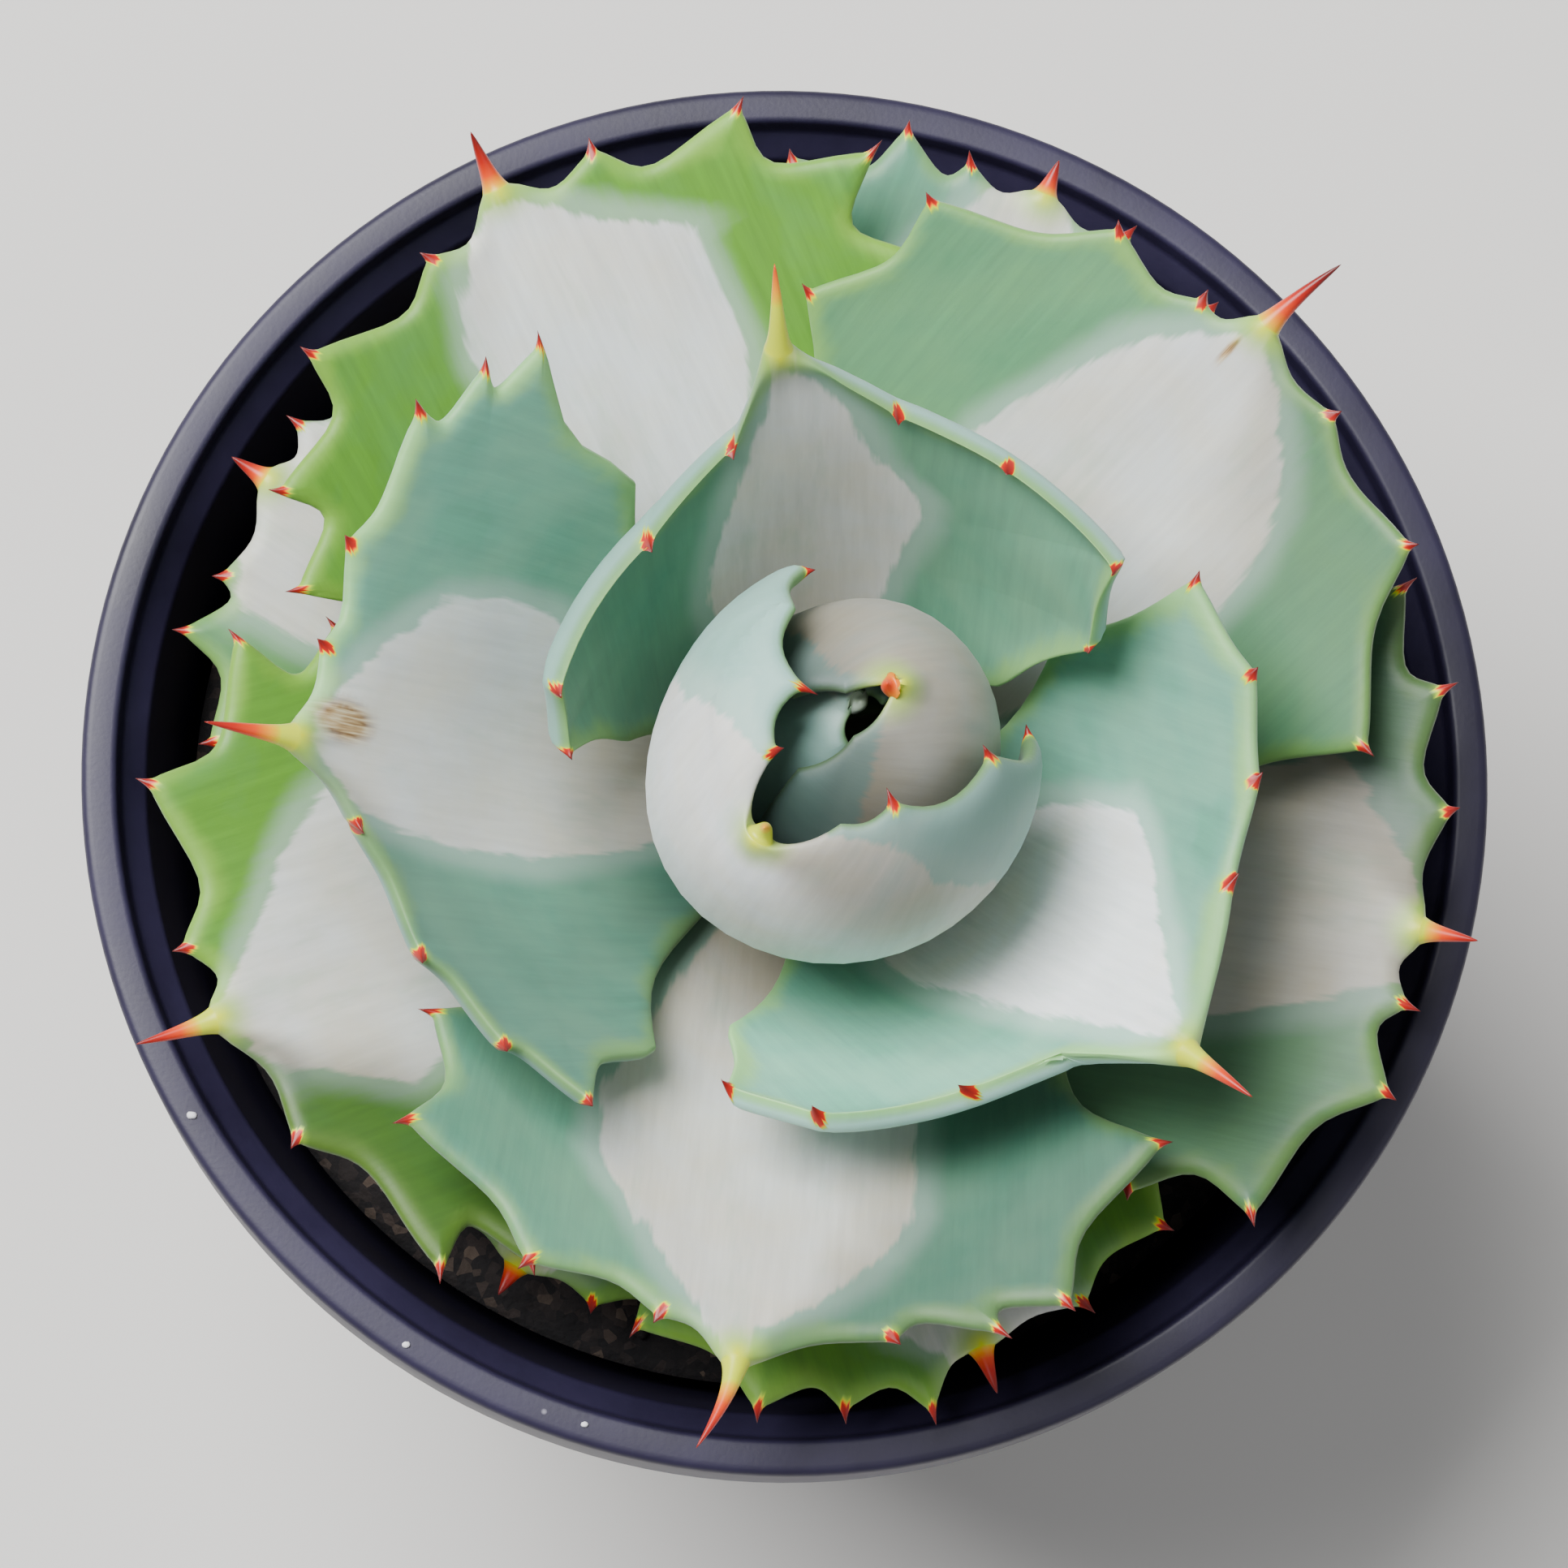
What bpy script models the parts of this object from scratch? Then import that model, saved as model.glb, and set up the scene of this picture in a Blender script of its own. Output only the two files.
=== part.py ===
"""A small variegated agave in a round black nursery pot.

The plant is a rosette of broad, toothed, fleshy leaves set in a spiral on a short
cone-shaped stem, with fibrous roots in a pot of soil. The origin is the centre of the
pot's underside, +Z is up, and every length is in metres.

Every leaf is a patch of a surface of revolution round the plant's axis. A profile runs
from the leaf's base on the stem to the tip of its blade, and the leaf's outline is given
on that surface: each point is (share of the leaf's length, degrees from its midrib). A
younger leaf always lies inside and above an older one, so the leaves nest.
"""

import math
from collections import namedtuple

import bmesh
import bpy
import numpy as np

MM = 0.001

# ---- pot -------------------------------------------------------------------------
POT_HEIGHT = 88.0 * MM
RIM_RADIUS = 52.5 * MM
FOOT_RADIUS = 36.0 * MM
WALL = 1.4 * MM
FLOOR = 2.0 * MM
LIP_WIDTH = 3.8 * MM
LIP_DROP = 9.0 * MM
SKIRT = 1.3 * MM
LIP_CHAMFER = 1.0 * MM
DRAIN_HOLES = 6
DRAIN_RADIUS = 3.5 * MM
DRAIN_INSET = 8.0 * MM
POT_SEGMENTS = 48

# ---- soil, stem and roots --------------------------------------------------------
SOIL_DROP = 15.0 * MM
SOIL_MOUND = 1.5 * MM
GAP = 0.3 * MM
STEM_DEPTH = 9.0 * MM
STEM_TOP_RADIUS = 2.2 * MM
STEM_TOP = 0.6 * MM
STEM_SEGMENTS = 24
STEM_CLEARANCE = 2.0 * MM
ROOTS = 7
ROOT_REACH = 21.0 * MM
ROOT_DROP = 42.0 * MM
ROOT_RADIUS = 1.5 * MM
ROOT_TIP_RADIUS = 0.7 * MM
ROOT_CROWN_RADIUS = 6.0 * MM
ROOT_CROWN_HEIGHT = 3.0 * MM
ROOT_CLEARANCE = 0.4 * MM

# ---- plant -----------------------------------------------------------------------
PLANT_AXIS = (0.6 * MM, -2.8 * MM)
PLANT_MOUTH = 47.3 * MM
FIRST_OPEN = 3
COLLAR = (6.8 * MM, 1.2 * MM)
COLLAR_STEP = (0.62 * MM, -0.9 * MM)
BASE_HALF_ANGLE = 50.0
THICK_BASE = 1.8 * MM
THICK_MIDDLE = 2.8 * MM
THICK_TIP = 1.6 * MM
THICK_MARGIN = 0.8 * MM
TIP_HALF_WIDTH = 0.8 * MM
SCALLOP = 0.07
OUTLINE_CENTRE = 0.5
WRAPPED = 100.0
ROWS = 12
COLUMNS = (0.0, 0.33, 0.62, 0.85, 1.0)
WRAPPED_COLUMNS = (0.0, 0.18, 0.36, 0.54, 0.71, 0.86, 1.0)
EDGE_ANGLE = 12.0
SPINE_RINGS = 3

# turn: which way the leaf points, in degrees anticlockwise from +X. start: base of its
# profile as (radius, height over the rim). rise and flare: direction in degrees above
# level, and length, of the profile's two handles. reach and height: its tip. furl: how
# far the margins roll inwards. lift: how far they rise. lean: how far the tip's centre
# stands off the plant's axis. thick: thickness as a share of a full leaf's. left and
# right: outline from tip to base. spine: its length, degrees above level, and degrees
# that its end turns sideways. Lengths here are in millimetres.
Leaf = namedtuple(
    "Leaf", "name turn start rise reach height flare furl lift lean thick left right spine"
)


def collar(age):
    """Where a leaf of this age meets the stem, as (radius, height over the rim) in mm."""
    steps = age - FIRST_OPEN
    return tuple((first + step * steps) / MM for first, step in zip(COLLAR, COLLAR_STEP))


LEAVES = (
    Leaf("leaf_01", 140, (1.6, 3.6), (58, 9), 0.8, 26.0, (112, 8), 0, 0, (2.6, 1.0), 0.7,
         ((0.95, 40), (0.80, 80), (0.55, 100)), ((0.95, 40), (0.80, 80), (0.55, 100)),
         (2.0, 75, 0)),
    Leaf("leaf_02", 15, (3.2, 3.2), (38, 11.6), 0.4, 31.0, (155, 13.6), 0, 0, (2.8, 1.0), 0.5,
         ((0.99, 60), (0.95, 97), (0.80, 118), (0.40, 115)),
         ((0.99, 60), (0.96, 105), (0.84, 135), (0.40, 120)), (4.0, 60, 30)),
    Leaf("leaf_03", 230, (4.8, 2.6), (32, 12.2), 8.5, 30.0, (141, 9.1), 0, 0, (3.0, 1.2), 0.7,
         ((1.06, 34), (1.10, 65), (0.95, 117), (0.55, 132), (0.30, 122)),
         ((1.13, 28), (1.14, 82), (0.72, 129), (0.30, 120)), (3.5, 55, 0)),
    Leaf("leaf_04", 96, collar(3), (27, 13), 26.4, 31.0, (60, 14), 3.0, 0, (0, 0), 1.0,
         ((0.81, 9), (0.69, 31), (0.70, 70), (0.60, 82), (0.30, 70)),
         ((0.90, 20), (0.91, 41), (0.98, 67), (0.80, 76), (0.40, 70)), (7.0, 35, 0)),
    Leaf("leaf_05", 319, collar(4), (28, 14), 33.2, 29.0, (46, 14), 1.0, 1.0, (0, 0), 1.0,
         ((0.90, 22), (0.92, 36), (0.93, 50), (0.87, 65), (0.48, 70)),
         ((0.78, 10), (0.73, 24), (0.71, 48), (0.65, 63), (0.40, 66)), (6.5, 25, 0)),
    Leaf("leaf_06", 180, collar(5), (27, 14), 35.9, 26.0, (42, 14), 0.5, 1.0, (0, 0), 1.0,
         ((0.88, 10), (0.83, 28), (0.79, 44), (0.76, 58), (0.50, 62)),
         ((0.96, 11), (0.98, 23), (1.01, 40), (0.98, 49), (0.95, 56), (0.58, 60)),
         (7.0, 20, -6)),
    Leaf("leaf_07", 44, collar(6), (27, 13), 45.5, 20.5, (31, 15), 0, 1.5, (0, 0), 1.0,
         ((0.96, 6), (0.98, 16), (0.91, 34), (0.73, 46), (0.40, 50)),
         ((0.99, 10), (1.00, 24), (0.85, 42), (0.45, 50)), (7.0, 18, -10)),
    Leaf("leaf_08", 263, collar(7), (26, 13), 42.7, 19.5, (30, 15), 0, 1.5, (0, 0), 1.0,
         ((0.96, 15), (0.99, 25), (0.99, 32), (0.83, 50), (0.50, 52)),
         ((0.94, 8), (0.94, 22), (0.87, 41), (0.68, 50), (0.40, 52)), (7.5, 12, -28)),
    Leaf("leaf_09", 118, collar(8), (25, 13), 48.1, 15.5, (23, 16), 0, 1.5, (0, 0), 1.0,
         ((0.96, 8), (0.97, 22), (0.88, 34), (0.78, 42), (0.45, 48)),
         ((1.00, 9), (1.02, 22), (0.95, 34), (0.80, 40), (0.45, 48)), (5.0, 45, 0)),
    Leaf("leaf_10", 346, collar(9), (24, 14), 45.6, 13.5, (21, 16), 0, 1.5, (0, 0), 1.0,
         ((1.02, 11), (1.02, 22), (1.00, 32), (0.75, 42), (0.40, 46)),
         ((1.01, 7), (1.04, 15), (0.98, 31), (0.80, 38), (0.45, 46)), (4.2, 20, 0)),
    Leaf("leaf_11", 203, collar(10), (22, 14), 45.7, 11.5, (18, 16), 0, 1.0, (0, 0), 1.0,
         ((0.98, 13), (0.96, 31), (0.86, 38), (0.45, 46)),
         ((1.01, 7), (1.03, 22), (0.92, 37), (0.75, 42), (0.40, 46)), (6.0, 10, -6)),
    Leaf("leaf_12", 68, collar(11), (20, 15), 48.4, 8.0, (14, 16), 0, 0.5, (0, 0), 1.0,
         ((1.01, 7), (1.04, 13), (0.98, 23), (0.85, 34), (0.45, 44)),
         ((1.00, 8), (0.98, 18), (0.85, 34), (0.45, 44)), (2.8, 20, 0)),
    Leaf("leaf_13", 288, collar(12), (18, 15), 42.6, 4.5, (10, 16), 0, 0.5, (0, 0), 1.0,
         ((1.00, 11), (0.97, 22), (0.80, 36), (0.40, 42)),
         ((1.07, 6), (1.05, 14), (1.05, 22), (0.96, 35), (0.45, 42)), (3.5, 10, 0)),
    Leaf("leaf_14", 149, collar(13), (16, 15), 46.2, 3.0, (8, 16), 0, 0.5, (0, 0), 1.0,
         ((0.99, 10), (1.02, 16), (0.94, 26), (0.75, 36), (0.40, 42)),
         ((1.01, 6), (1.02, 13), (0.97, 22), (0.75, 36), (0.40, 42)), (3.0, 15, 0)),
    Leaf("leaf_15", 12, collar(14), (14, 15), 43.5, 0.5, (4, 16), 0, 0, (0, 0), 1.0,
         ((1.00, 9), (0.98, 20), (0.80, 34), (0.40, 42)),
         ((1.00, 9), (0.98, 20), (0.80, 34), (0.40, 42)), (3.0, 12, 0)),
    Leaf("leaf_16", 239, collar(15), (12, 15), 40.0, -1.5, (0, 16), 0, 0, (0, 0), 1.0,
         ((1.00, 9), (0.98, 20), (0.80, 34), (0.40, 42)),
         ((1.00, 9), (0.98, 20), (0.80, 34), (0.40, 42)), (2.5, 10, 0)),
)


# ---- materials and small helpers -------------------------------------------------
def material(name, colour, roughness):
    made = bpy.data.materials.new(name)
    made.use_nodes = True
    shader = made.node_tree.nodes["Principled BSDF"]
    shader.inputs["Base Color"].default_value = (*colour, 1.0)
    shader.inputs["Roughness"].default_value = roughness
    return made


def place(name, mesh, collection, finish=None):
    """Puts a mesh in the collection as an object of this name."""
    made = bpy.data.objects.new(name, mesh)
    if finish:
        mesh.materials.append(finish)
    collection.objects.link(made)
    return made


def helper(made):
    """Marks an object that only cuts or joins, and is not a piece."""
    made.hide_render = True
    made.display_type = "WIRE"
    return made


def boolean(target, other, operation):
    modifier = target.modifiers.new(other.name, "BOOLEAN")
    modifier.operation = operation
    modifier.object = other


def turned(name, profile, segments, collection, finish=None):
    """A solid turned round Z from (radius, height) points that run down its outer side."""
    bm = bmesh.new()
    points = [bm.verts.new((radius, 0.0, height)) for radius, height in profile]
    for first, second in zip(points, points[1:]):
        bm.edges.new((first, second))
    mesh = bpy.data.meshes.new(name)
    bm.to_mesh(mesh)
    bm.free()
    made = place(name, mesh, collection, finish)
    screw = made.modifiers.new("Turn", "SCREW")
    screw.steps = segments
    screw.render_steps = segments
    screw.use_merge_vertices = True
    screw.merge_threshold = 0.01 * MM
    return made


def cubic(points, share):
    """The point and the direction of a cubic curve at this share of its length."""
    a, b, c, d = (np.array(point, float) for point in points)
    rest = 1.0 - share
    point = rest**3 * a + 3 * rest**2 * share * b + 3 * rest * share**2 * c + share**3 * d
    along = rest**2 * (b - a) + 2 * rest * share * (c - b) + share**2 * (d - c)
    return point, along / np.linalg.norm(along)


def heading(degrees):
    return np.array((math.cos(math.radians(degrees)), math.sin(math.radians(degrees))))


# ---- pot, soil, stem and roots ---------------------------------------------------
def wall_radius(height):
    """Outer radius of the pot's wall at this height over its underside."""
    under_lip = RIM_RADIUS - LIP_WIDTH
    return FOOT_RADIUS + (under_lip - FOOT_RADIUS) * height / POT_HEIGHT


def spread():
    """How wide the plant is, as a share of its size in a mouth of radius PLANT_MOUTH.

    The plant fills its pot: leaves, stem and roots widen in plan with the mouth."""
    return (wall_radius(POT_HEIGHT) - WALL) / PLANT_MOUTH


def plant_axis():
    return np.array(PLANT_AXIS) * spread()


def make_pot(collection, cutters):
    plastic = material("Black moulded plastic", (0.012, 0.010, 0.016), 0.45)
    skirt_foot = POT_HEIGHT - LIP_DROP
    flange = POT_HEIGHT - WALL
    mouth = wall_radius(POT_HEIGHT) - WALL
    profile = (
        (0.0, FLOOR),
        (wall_radius(FLOOR) - WALL, FLOOR),
        (mouth, POT_HEIGHT - LIP_CHAMFER),
        (mouth + LIP_CHAMFER, POT_HEIGHT),
        (RIM_RADIUS - LIP_CHAMFER / 2, POT_HEIGHT),
        (RIM_RADIUS, POT_HEIGHT - LIP_CHAMFER / 2),
        (RIM_RADIUS, skirt_foot),
        (RIM_RADIUS - SKIRT, skirt_foot),
        (RIM_RADIUS - SKIRT, flange),
        (wall_radius(flange), flange),
        (FOOT_RADIUS, 0.0),
        (0.0, 0.0),
    )
    pot = turned("pot", profile, POT_SEGMENTS, collection, plastic)
    for number in range(DRAIN_HOLES):
        bpy.ops.mesh.primitive_cylinder_add(vertices=16, radius=DRAIN_RADIUS, depth=4 * FLOOR)
        drill = helper(bpy.context.object)
        drill.name = f"drain_{number + 1}"
        out = heading(360.0 * number / DRAIN_HOLES) * (FOOT_RADIUS - DRAIN_INSET)
        drill.location = (*out, 0.0)
        drill.users_collection[0].objects.unlink(drill)
        cutters.objects.link(drill)
        boolean(pot, drill, "DIFFERENCE")


def stem_profile(clearance=0.0):
    """The stem's cone, just inside the circle where the leaves start."""
    top = collar(FIRST_OPEN)
    slope = -COLLAR_STEP[0] / COLLAR_STEP[1]
    rise = STEM_TOP - top[1] * MM
    shoulder = top[0] * MM - STEM_CLEARANCE - slope * rise
    soil_top = -SOIL_DROP
    widest = (shoulder + slope * (STEM_TOP - soil_top)) * spread()
    top_radius = max(shoulder, STEM_TOP_RADIUS) * spread()
    foot = soil_top - STEM_DEPTH
    return (
        (0.0, POT_HEIGHT + STEM_TOP + clearance),
        (top_radius + clearance, POT_HEIGHT + STEM_TOP + clearance),
        (widest + clearance, POT_HEIGHT + soil_top),
        (widest * 0.7 + clearance, POT_HEIGHT + foot - clearance),
        (0.0, POT_HEIGHT + foot - clearance),
    )


def make_stem(collection):
    bark = material("Pale stem", (0.42, 0.47, 0.30), 0.6)
    stem = turned("stem", stem_profile(), STEM_SEGMENTS, collection, bark)
    stem.location = (*plant_axis(), 0.0)


def make_roots(name, collection, clearance=0.0, finish=None):
    """A crown under the stem with tapering roots that run out and down from it."""
    top = POT_HEIGHT - SOIL_DROP - STEM_DEPTH - GAP
    crown_profile = (
        (0.0, top + clearance),
        (ROOT_CROWN_RADIUS + clearance, top + clearance),
        (ROOT_CROWN_RADIUS + clearance, top - ROOT_CROWN_HEIGHT - clearance),
        (0.0, top - ROOT_CROWN_HEIGHT - clearance),
    )
    roots = turned(name, crown_profile, STEM_SEGMENTS, collection, finish)
    roots.location = (*plant_axis(), 0.0)
    start = top - ROOT_CROWN_HEIGHT / 2
    for number in range(ROOTS):
        out = heading(360.0 * number / ROOTS)
        reach = ROOT_REACH * spread() * (1.0 if number % 2 else 0.7)
        drop = ROOT_DROP * (0.8 if number % 2 else 1.0)
        centre = plant_axis()
        route = (
            (*(centre + out * ROOT_CROWN_RADIUS * 0.5), start),
            (*(centre + out * reach), start),
            (*(centre + out * reach), start - drop * 0.6),
            (*(centre + out * reach * 0.9), start - drop),
        )
        curve = bpy.data.curves.new(f"{name}_run_{number + 1}", "CURVE")
        curve.dimensions = "3D"
        curve.bevel_depth = ROOT_RADIUS + clearance
        curve.bevel_resolution = 1
        curve.use_fill_caps = True
        spline = curve.splines.new("POLY")
        stations = 7
        spline.points.add(stations - 1)
        taper = (ROOT_TIP_RADIUS + clearance) / (ROOT_RADIUS + clearance)
        for step, point in enumerate(spline.points):
            share = step / (stations - 1)
            point.co = (*cubic(route, share)[0], 1.0)
            point.radius = 1.0 + (taper - 1.0) * share
        run = place(curve.name, curve, collection)
        bpy.context.view_layer.update()
        graph = bpy.context.evaluated_depsgraph_get()
        mesh = bpy.data.meshes.new_from_object(run.evaluated_get(graph))
        bm = bmesh.new()
        bm.from_mesh(mesh)
        bmesh.ops.remove_doubles(bm, verts=bm.verts, dist=0.01 * MM)
        bm.to_mesh(mesh)
        bm.free()
        bpy.data.objects.remove(run)
        boolean(roots, helper(place(curve.name, mesh, collection)), "UNION")
    return roots


def make_soil(collection, cutters):
    """A plug of potting mix that fills the pot, hollowed for the stem and the roots."""
    earth = material("Dark potting mix", (0.018, 0.014, 0.011), 0.95)
    floor = FLOOR + GAP
    surface = POT_HEIGHT - SOIL_DROP
    profile = (
        (0.0, surface + SOIL_MOUND),
        (wall_radius(surface) / 2, surface + SOIL_MOUND / 2),
        (wall_radius(surface) - WALL - GAP, surface),
        (wall_radius(floor) - WALL - GAP, floor),
        (0.0, floor),
    )
    soil = turned("soil", profile, POT_SEGMENTS, collection, earth)
    hollow = helper(turned("stem_hollow", stem_profile(GAP), STEM_SEGMENTS, cutters))
    hollow.location = (*plant_axis(), 0.0)
    boolean(soil, hollow, "DIFFERENCE")
    boolean(soil, helper(make_roots("root_hollow", cutters, ROOT_CLEARANCE)), "DIFFERENCE")


# ---- leaves ----------------------------------------------------------------------
def profile_of(leaf):
    """The four points of the leaf's profile, as (radius, height over the rim) in metres."""
    start = np.array(leaf.start)
    tip = np.array((leaf.reach, leaf.height))
    rise, first_handle = leaf.rise
    flare, last_handle = leaf.flare
    first = start + first_handle * heading(rise)
    last = tip - last_handle * heading(flare)
    return [point * MM for point in (start, first, last, tip)]


def outline(leaf, teeth, rows):
    """The margin from base to tip at each row, with a tooth at the end of each scallop."""
    tip_angle = math.degrees(TIP_HALF_WIDTH / max(leaf.reach * MM, 2 * TIP_HALF_WIDTH))
    corners = [(0.0, BASE_HALF_ANGLE), *reversed(teeth), (1.0, tip_angle)]
    spans = len(corners) - 1
    stops = [round(rows * index / spans) for index in range(spans + 1)]
    points = []
    for index in range(spans):
        first, second = np.array(corners[index]), np.array(corners[index + 1])
        count = stops[index + 1] - stops[index]
        for step in range(count):
            share = step / count
            point = first + (second - first) * share
            centre = np.array((OUTLINE_CENTRE, 0.0))
            points.append(centre + (point - centre) * (1.0 - SCALLOP * 4 * share * (1 - share)))
    return [*points, np.array(corners[-1])]


def blade_thickness(share):
    """Thickness along the midrib: full in the middle, thinner at the base and the tip."""
    if share < 0.5:
        return THICK_BASE + (THICK_MIDDLE - THICK_BASE) * share / 0.5
    return THICK_MIDDLE + (THICK_TIP - THICK_MIDDLE) * (share - 0.5) / 0.5


def blade_row(leaf, profile, share, margins, widest, columns):
    """One closed ring round the blade: over its upper face and back under it.

    share is where the ring crosses the midrib; margins are its left and right ends."""
    centre = np.array(PLANT_AXIS)
    lean = np.array(leaf.lean) * MM * share * (2.0 - share)
    ring = []
    across = [-column for column in reversed(columns[1:])] + list(columns)
    for column in across:
        margin_share, margin_angle = margins[0] if column > 0 else margins[1]
        part = abs(column)
        along = share + (margin_share - share) * part * part
        angle = math.copysign(margin_angle * part, column)
        point, direction = cubic(profile, along)
        spread = along * part * margin_angle / widest
        point = point + np.array((-leaf.furl * part * part * spread, leaf.lift * spread**2)) * MM
        under = np.array((direction[1], -direction[0]))
        depth = THICK_MARGIN + (leaf.thick * blade_thickness(share) - THICK_MARGIN) * (1.0 - part * part)
        out = heading(leaf.turn + angle)
        upper = (*(centre + lean + out * point[0]), POT_HEIGHT + point[1])
        point = point + under * depth
        lower = (*(centre + lean + out * point[0]), POT_HEIGHT + point[1])
        ring.append((upper, lower))
    return [upper for upper, _ in ring] + [lower for _, lower in reversed(ring)]


def spine_rows(leaf, profile, columns):
    """Rings of the terminal spine, from the blade's tip to its point."""
    length, rise, turn = leaf.spine
    length *= MM
    tip, along = cubic(profile, 1.0)
    under = np.array((along[1], -along[0]))
    middle = tip + under * THICK_MARGIN
    out = heading(leaf.turn)
    centre = np.array(PLANT_AXIS) + np.array(leaf.lean) * MM
    base = np.array((*(centre + out * middle[0]), POT_HEIGHT + middle[1]))
    forward = np.array((*(out * along[0]), along[1]))
    level = heading(leaf.turn + turn) * math.cos(math.radians(rise))
    end = np.array((*level, math.sin(math.radians(rise))))
    bend = base + forward * length * 0.4
    point = bend + end * length * 0.6
    part_angles = [EDGE_ANGLE + (90.0 - EDGE_ANGLE) * (1.0 - abs(column)) for column in columns]
    over = [180.0 - angle for angle in reversed(part_angles[1:])] + part_angles
    side = np.array((-out[1], out[0], 0.0))
    rings = []
    for step in range(1, SPINE_RINGS + 1):
        share = step / (SPINE_RINGS + 1)
        centre = (1 - share) ** 2 * base + 2 * share * (1 - share) * bend + share**2 * point
        travel = (1 - share) * (bend - base) + share * (point - bend)
        travel /= np.linalg.norm(travel)
        up = np.cross(travel, side)
        radius = TIP_HALF_WIDTH * (1.0 - share) ** 0.8
        turns = [-angle for angle in reversed(over)]
        ring = []
        for angle in [*over, *turns]:
            across, rise_part = heading(angle)
            ring.append(centre + radius * (side * across + up * rise_part))
        rings.append(ring)
    return rings, point


def make_leaf(leaf, collection, finish):
    """One leaf as a loft of closed rings from its base to the point of its spine."""
    profile = profile_of(leaf)
    widest = max(angle for _, angle in (*leaf.left, *leaf.right))
    columns = WRAPPED_COLUMNS if widest >= WRAPPED else COLUMNS
    left = outline(leaf, leaf.left, ROWS)
    right = outline(leaf, leaf.right, ROWS)
    rings = [
        blade_row(leaf, profile, row / ROWS, (left[row], right[row]), widest, columns)
        for row in range(ROWS + 1)
    ]
    spine, point = spine_rows(leaf, profile, columns)
    rings += spine
    bm = bmesh.new()
    wide = spread()
    loops = [[bm.verts.new((x * wide, y * wide, z)) for x, y, z in ring] for ring in rings]
    for first, second in zip(loops, loops[1:]):
        for here in range(len(first)):
            after = (here + 1) % len(first)
            bm.faces.new((first[here], second[here], second[after], first[after]))
    bm.faces.new(loops[0])
    apex = bm.verts.new((point[0] * wide, point[1] * wide, point[2]))
    for here in range(len(loops[-1])):
        bm.faces.new((loops[-1][here], apex, loops[-1][(here + 1) % len(loops[-1])]))
    bmesh.ops.triangulate(bm, faces=bm.faces)
    mesh = bpy.data.meshes.new(leaf.name)
    bm.to_mesh(mesh)
    bm.free()
    mesh.shade_smooth()
    mesh.set_sharp_from_angle(angle=math.radians(50))
    place(leaf.name, mesh, collection, finish)


def main():
    for old in list(bpy.data.objects):
        bpy.data.objects.remove(old, do_unlink=True)
    pieces = bpy.data.collections.new("potted_agave")
    cutters = bpy.data.collections.new("cutters")
    bpy.context.scene.collection.children.link(pieces)
    bpy.context.scene.collection.children.link(cutters)
    make_pot(pieces, cutters)
    make_soil(pieces, cutters)
    make_stem(pieces)
    make_roots("roots", pieces, finish=material("Pale roots", (0.45, 0.36, 0.24), 0.8))
    green = material("Waxy blue-green leaf", (0.19, 0.36, 0.27), 0.5)
    for leaf in LEAVES:
        make_leaf(leaf, pieces, green)


if __name__ == "__main__":
    main()
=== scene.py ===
"""The looks of a small variegated agave in a round black nursery pot.

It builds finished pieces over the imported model: toothed waxy leaves with their terminal
spines, the moulded pot, the potting mix and the stem. The origin is the centre of the
pot's underside, +Z is up, and lengths are in metres unless a name or comment says mm.
"""

import math
from collections import namedtuple

import bmesh
import bpy
import numpy as np
from mathutils import Matrix, Vector, kdtree


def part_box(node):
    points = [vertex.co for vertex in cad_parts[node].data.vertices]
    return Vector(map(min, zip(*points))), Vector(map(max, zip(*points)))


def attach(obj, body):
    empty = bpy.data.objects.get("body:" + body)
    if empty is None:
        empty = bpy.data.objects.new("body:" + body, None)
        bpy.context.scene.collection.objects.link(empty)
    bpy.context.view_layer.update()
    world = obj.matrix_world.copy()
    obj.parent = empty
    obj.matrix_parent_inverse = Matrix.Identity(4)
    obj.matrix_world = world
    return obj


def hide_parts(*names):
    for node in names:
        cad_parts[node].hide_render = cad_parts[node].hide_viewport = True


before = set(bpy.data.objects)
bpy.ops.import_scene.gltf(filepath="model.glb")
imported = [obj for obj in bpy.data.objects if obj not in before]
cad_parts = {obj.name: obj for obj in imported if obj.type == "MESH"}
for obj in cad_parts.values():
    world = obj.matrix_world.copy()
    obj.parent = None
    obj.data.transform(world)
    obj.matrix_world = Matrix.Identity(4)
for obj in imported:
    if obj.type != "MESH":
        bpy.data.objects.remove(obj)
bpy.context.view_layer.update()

bl_info = {
    "name": "Potted agave",
    "version": (1, 0, 0),
    "blender": (4, 5, 0),
    "location": "View3D > Sidebar > Agave",
    "description": "Builds a small variegated agave in a round nursery pot",
    "category": "Object",
}

MM = 0.001
POT_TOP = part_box("pot")[1].z / MM
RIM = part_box("pot")[1].x / MM

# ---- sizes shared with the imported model, in mm ------------------------------------
FOOT = 36.0
WALL = 1.4
FLOOR = 2.0
LIP_WIDTH = 3.8
LIP_DROP = 9.0
SKIRT = 1.3
DRAIN_HOLES, DRAIN_RADIUS, DRAIN_INSET = 6, 3.5, 8.0
SOIL_DROP, SOIL_MOUND = 15.0, 1.5
STEM_TOP, STEM_CLEARANCE = 0.6, 2.0
PLANT_AXIS = (0.6, -2.8)
FIRST_OPEN = 3
COLLAR, COLLAR_STEP = (6.8, 1.2), (0.62, -0.9)
BASE_HALF_ANGLE = 50.0
THICK_BASE, THICK_MIDDLE, THICK_TIP = 1.8, 2.8, 1.6
ROWS = 12

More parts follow.
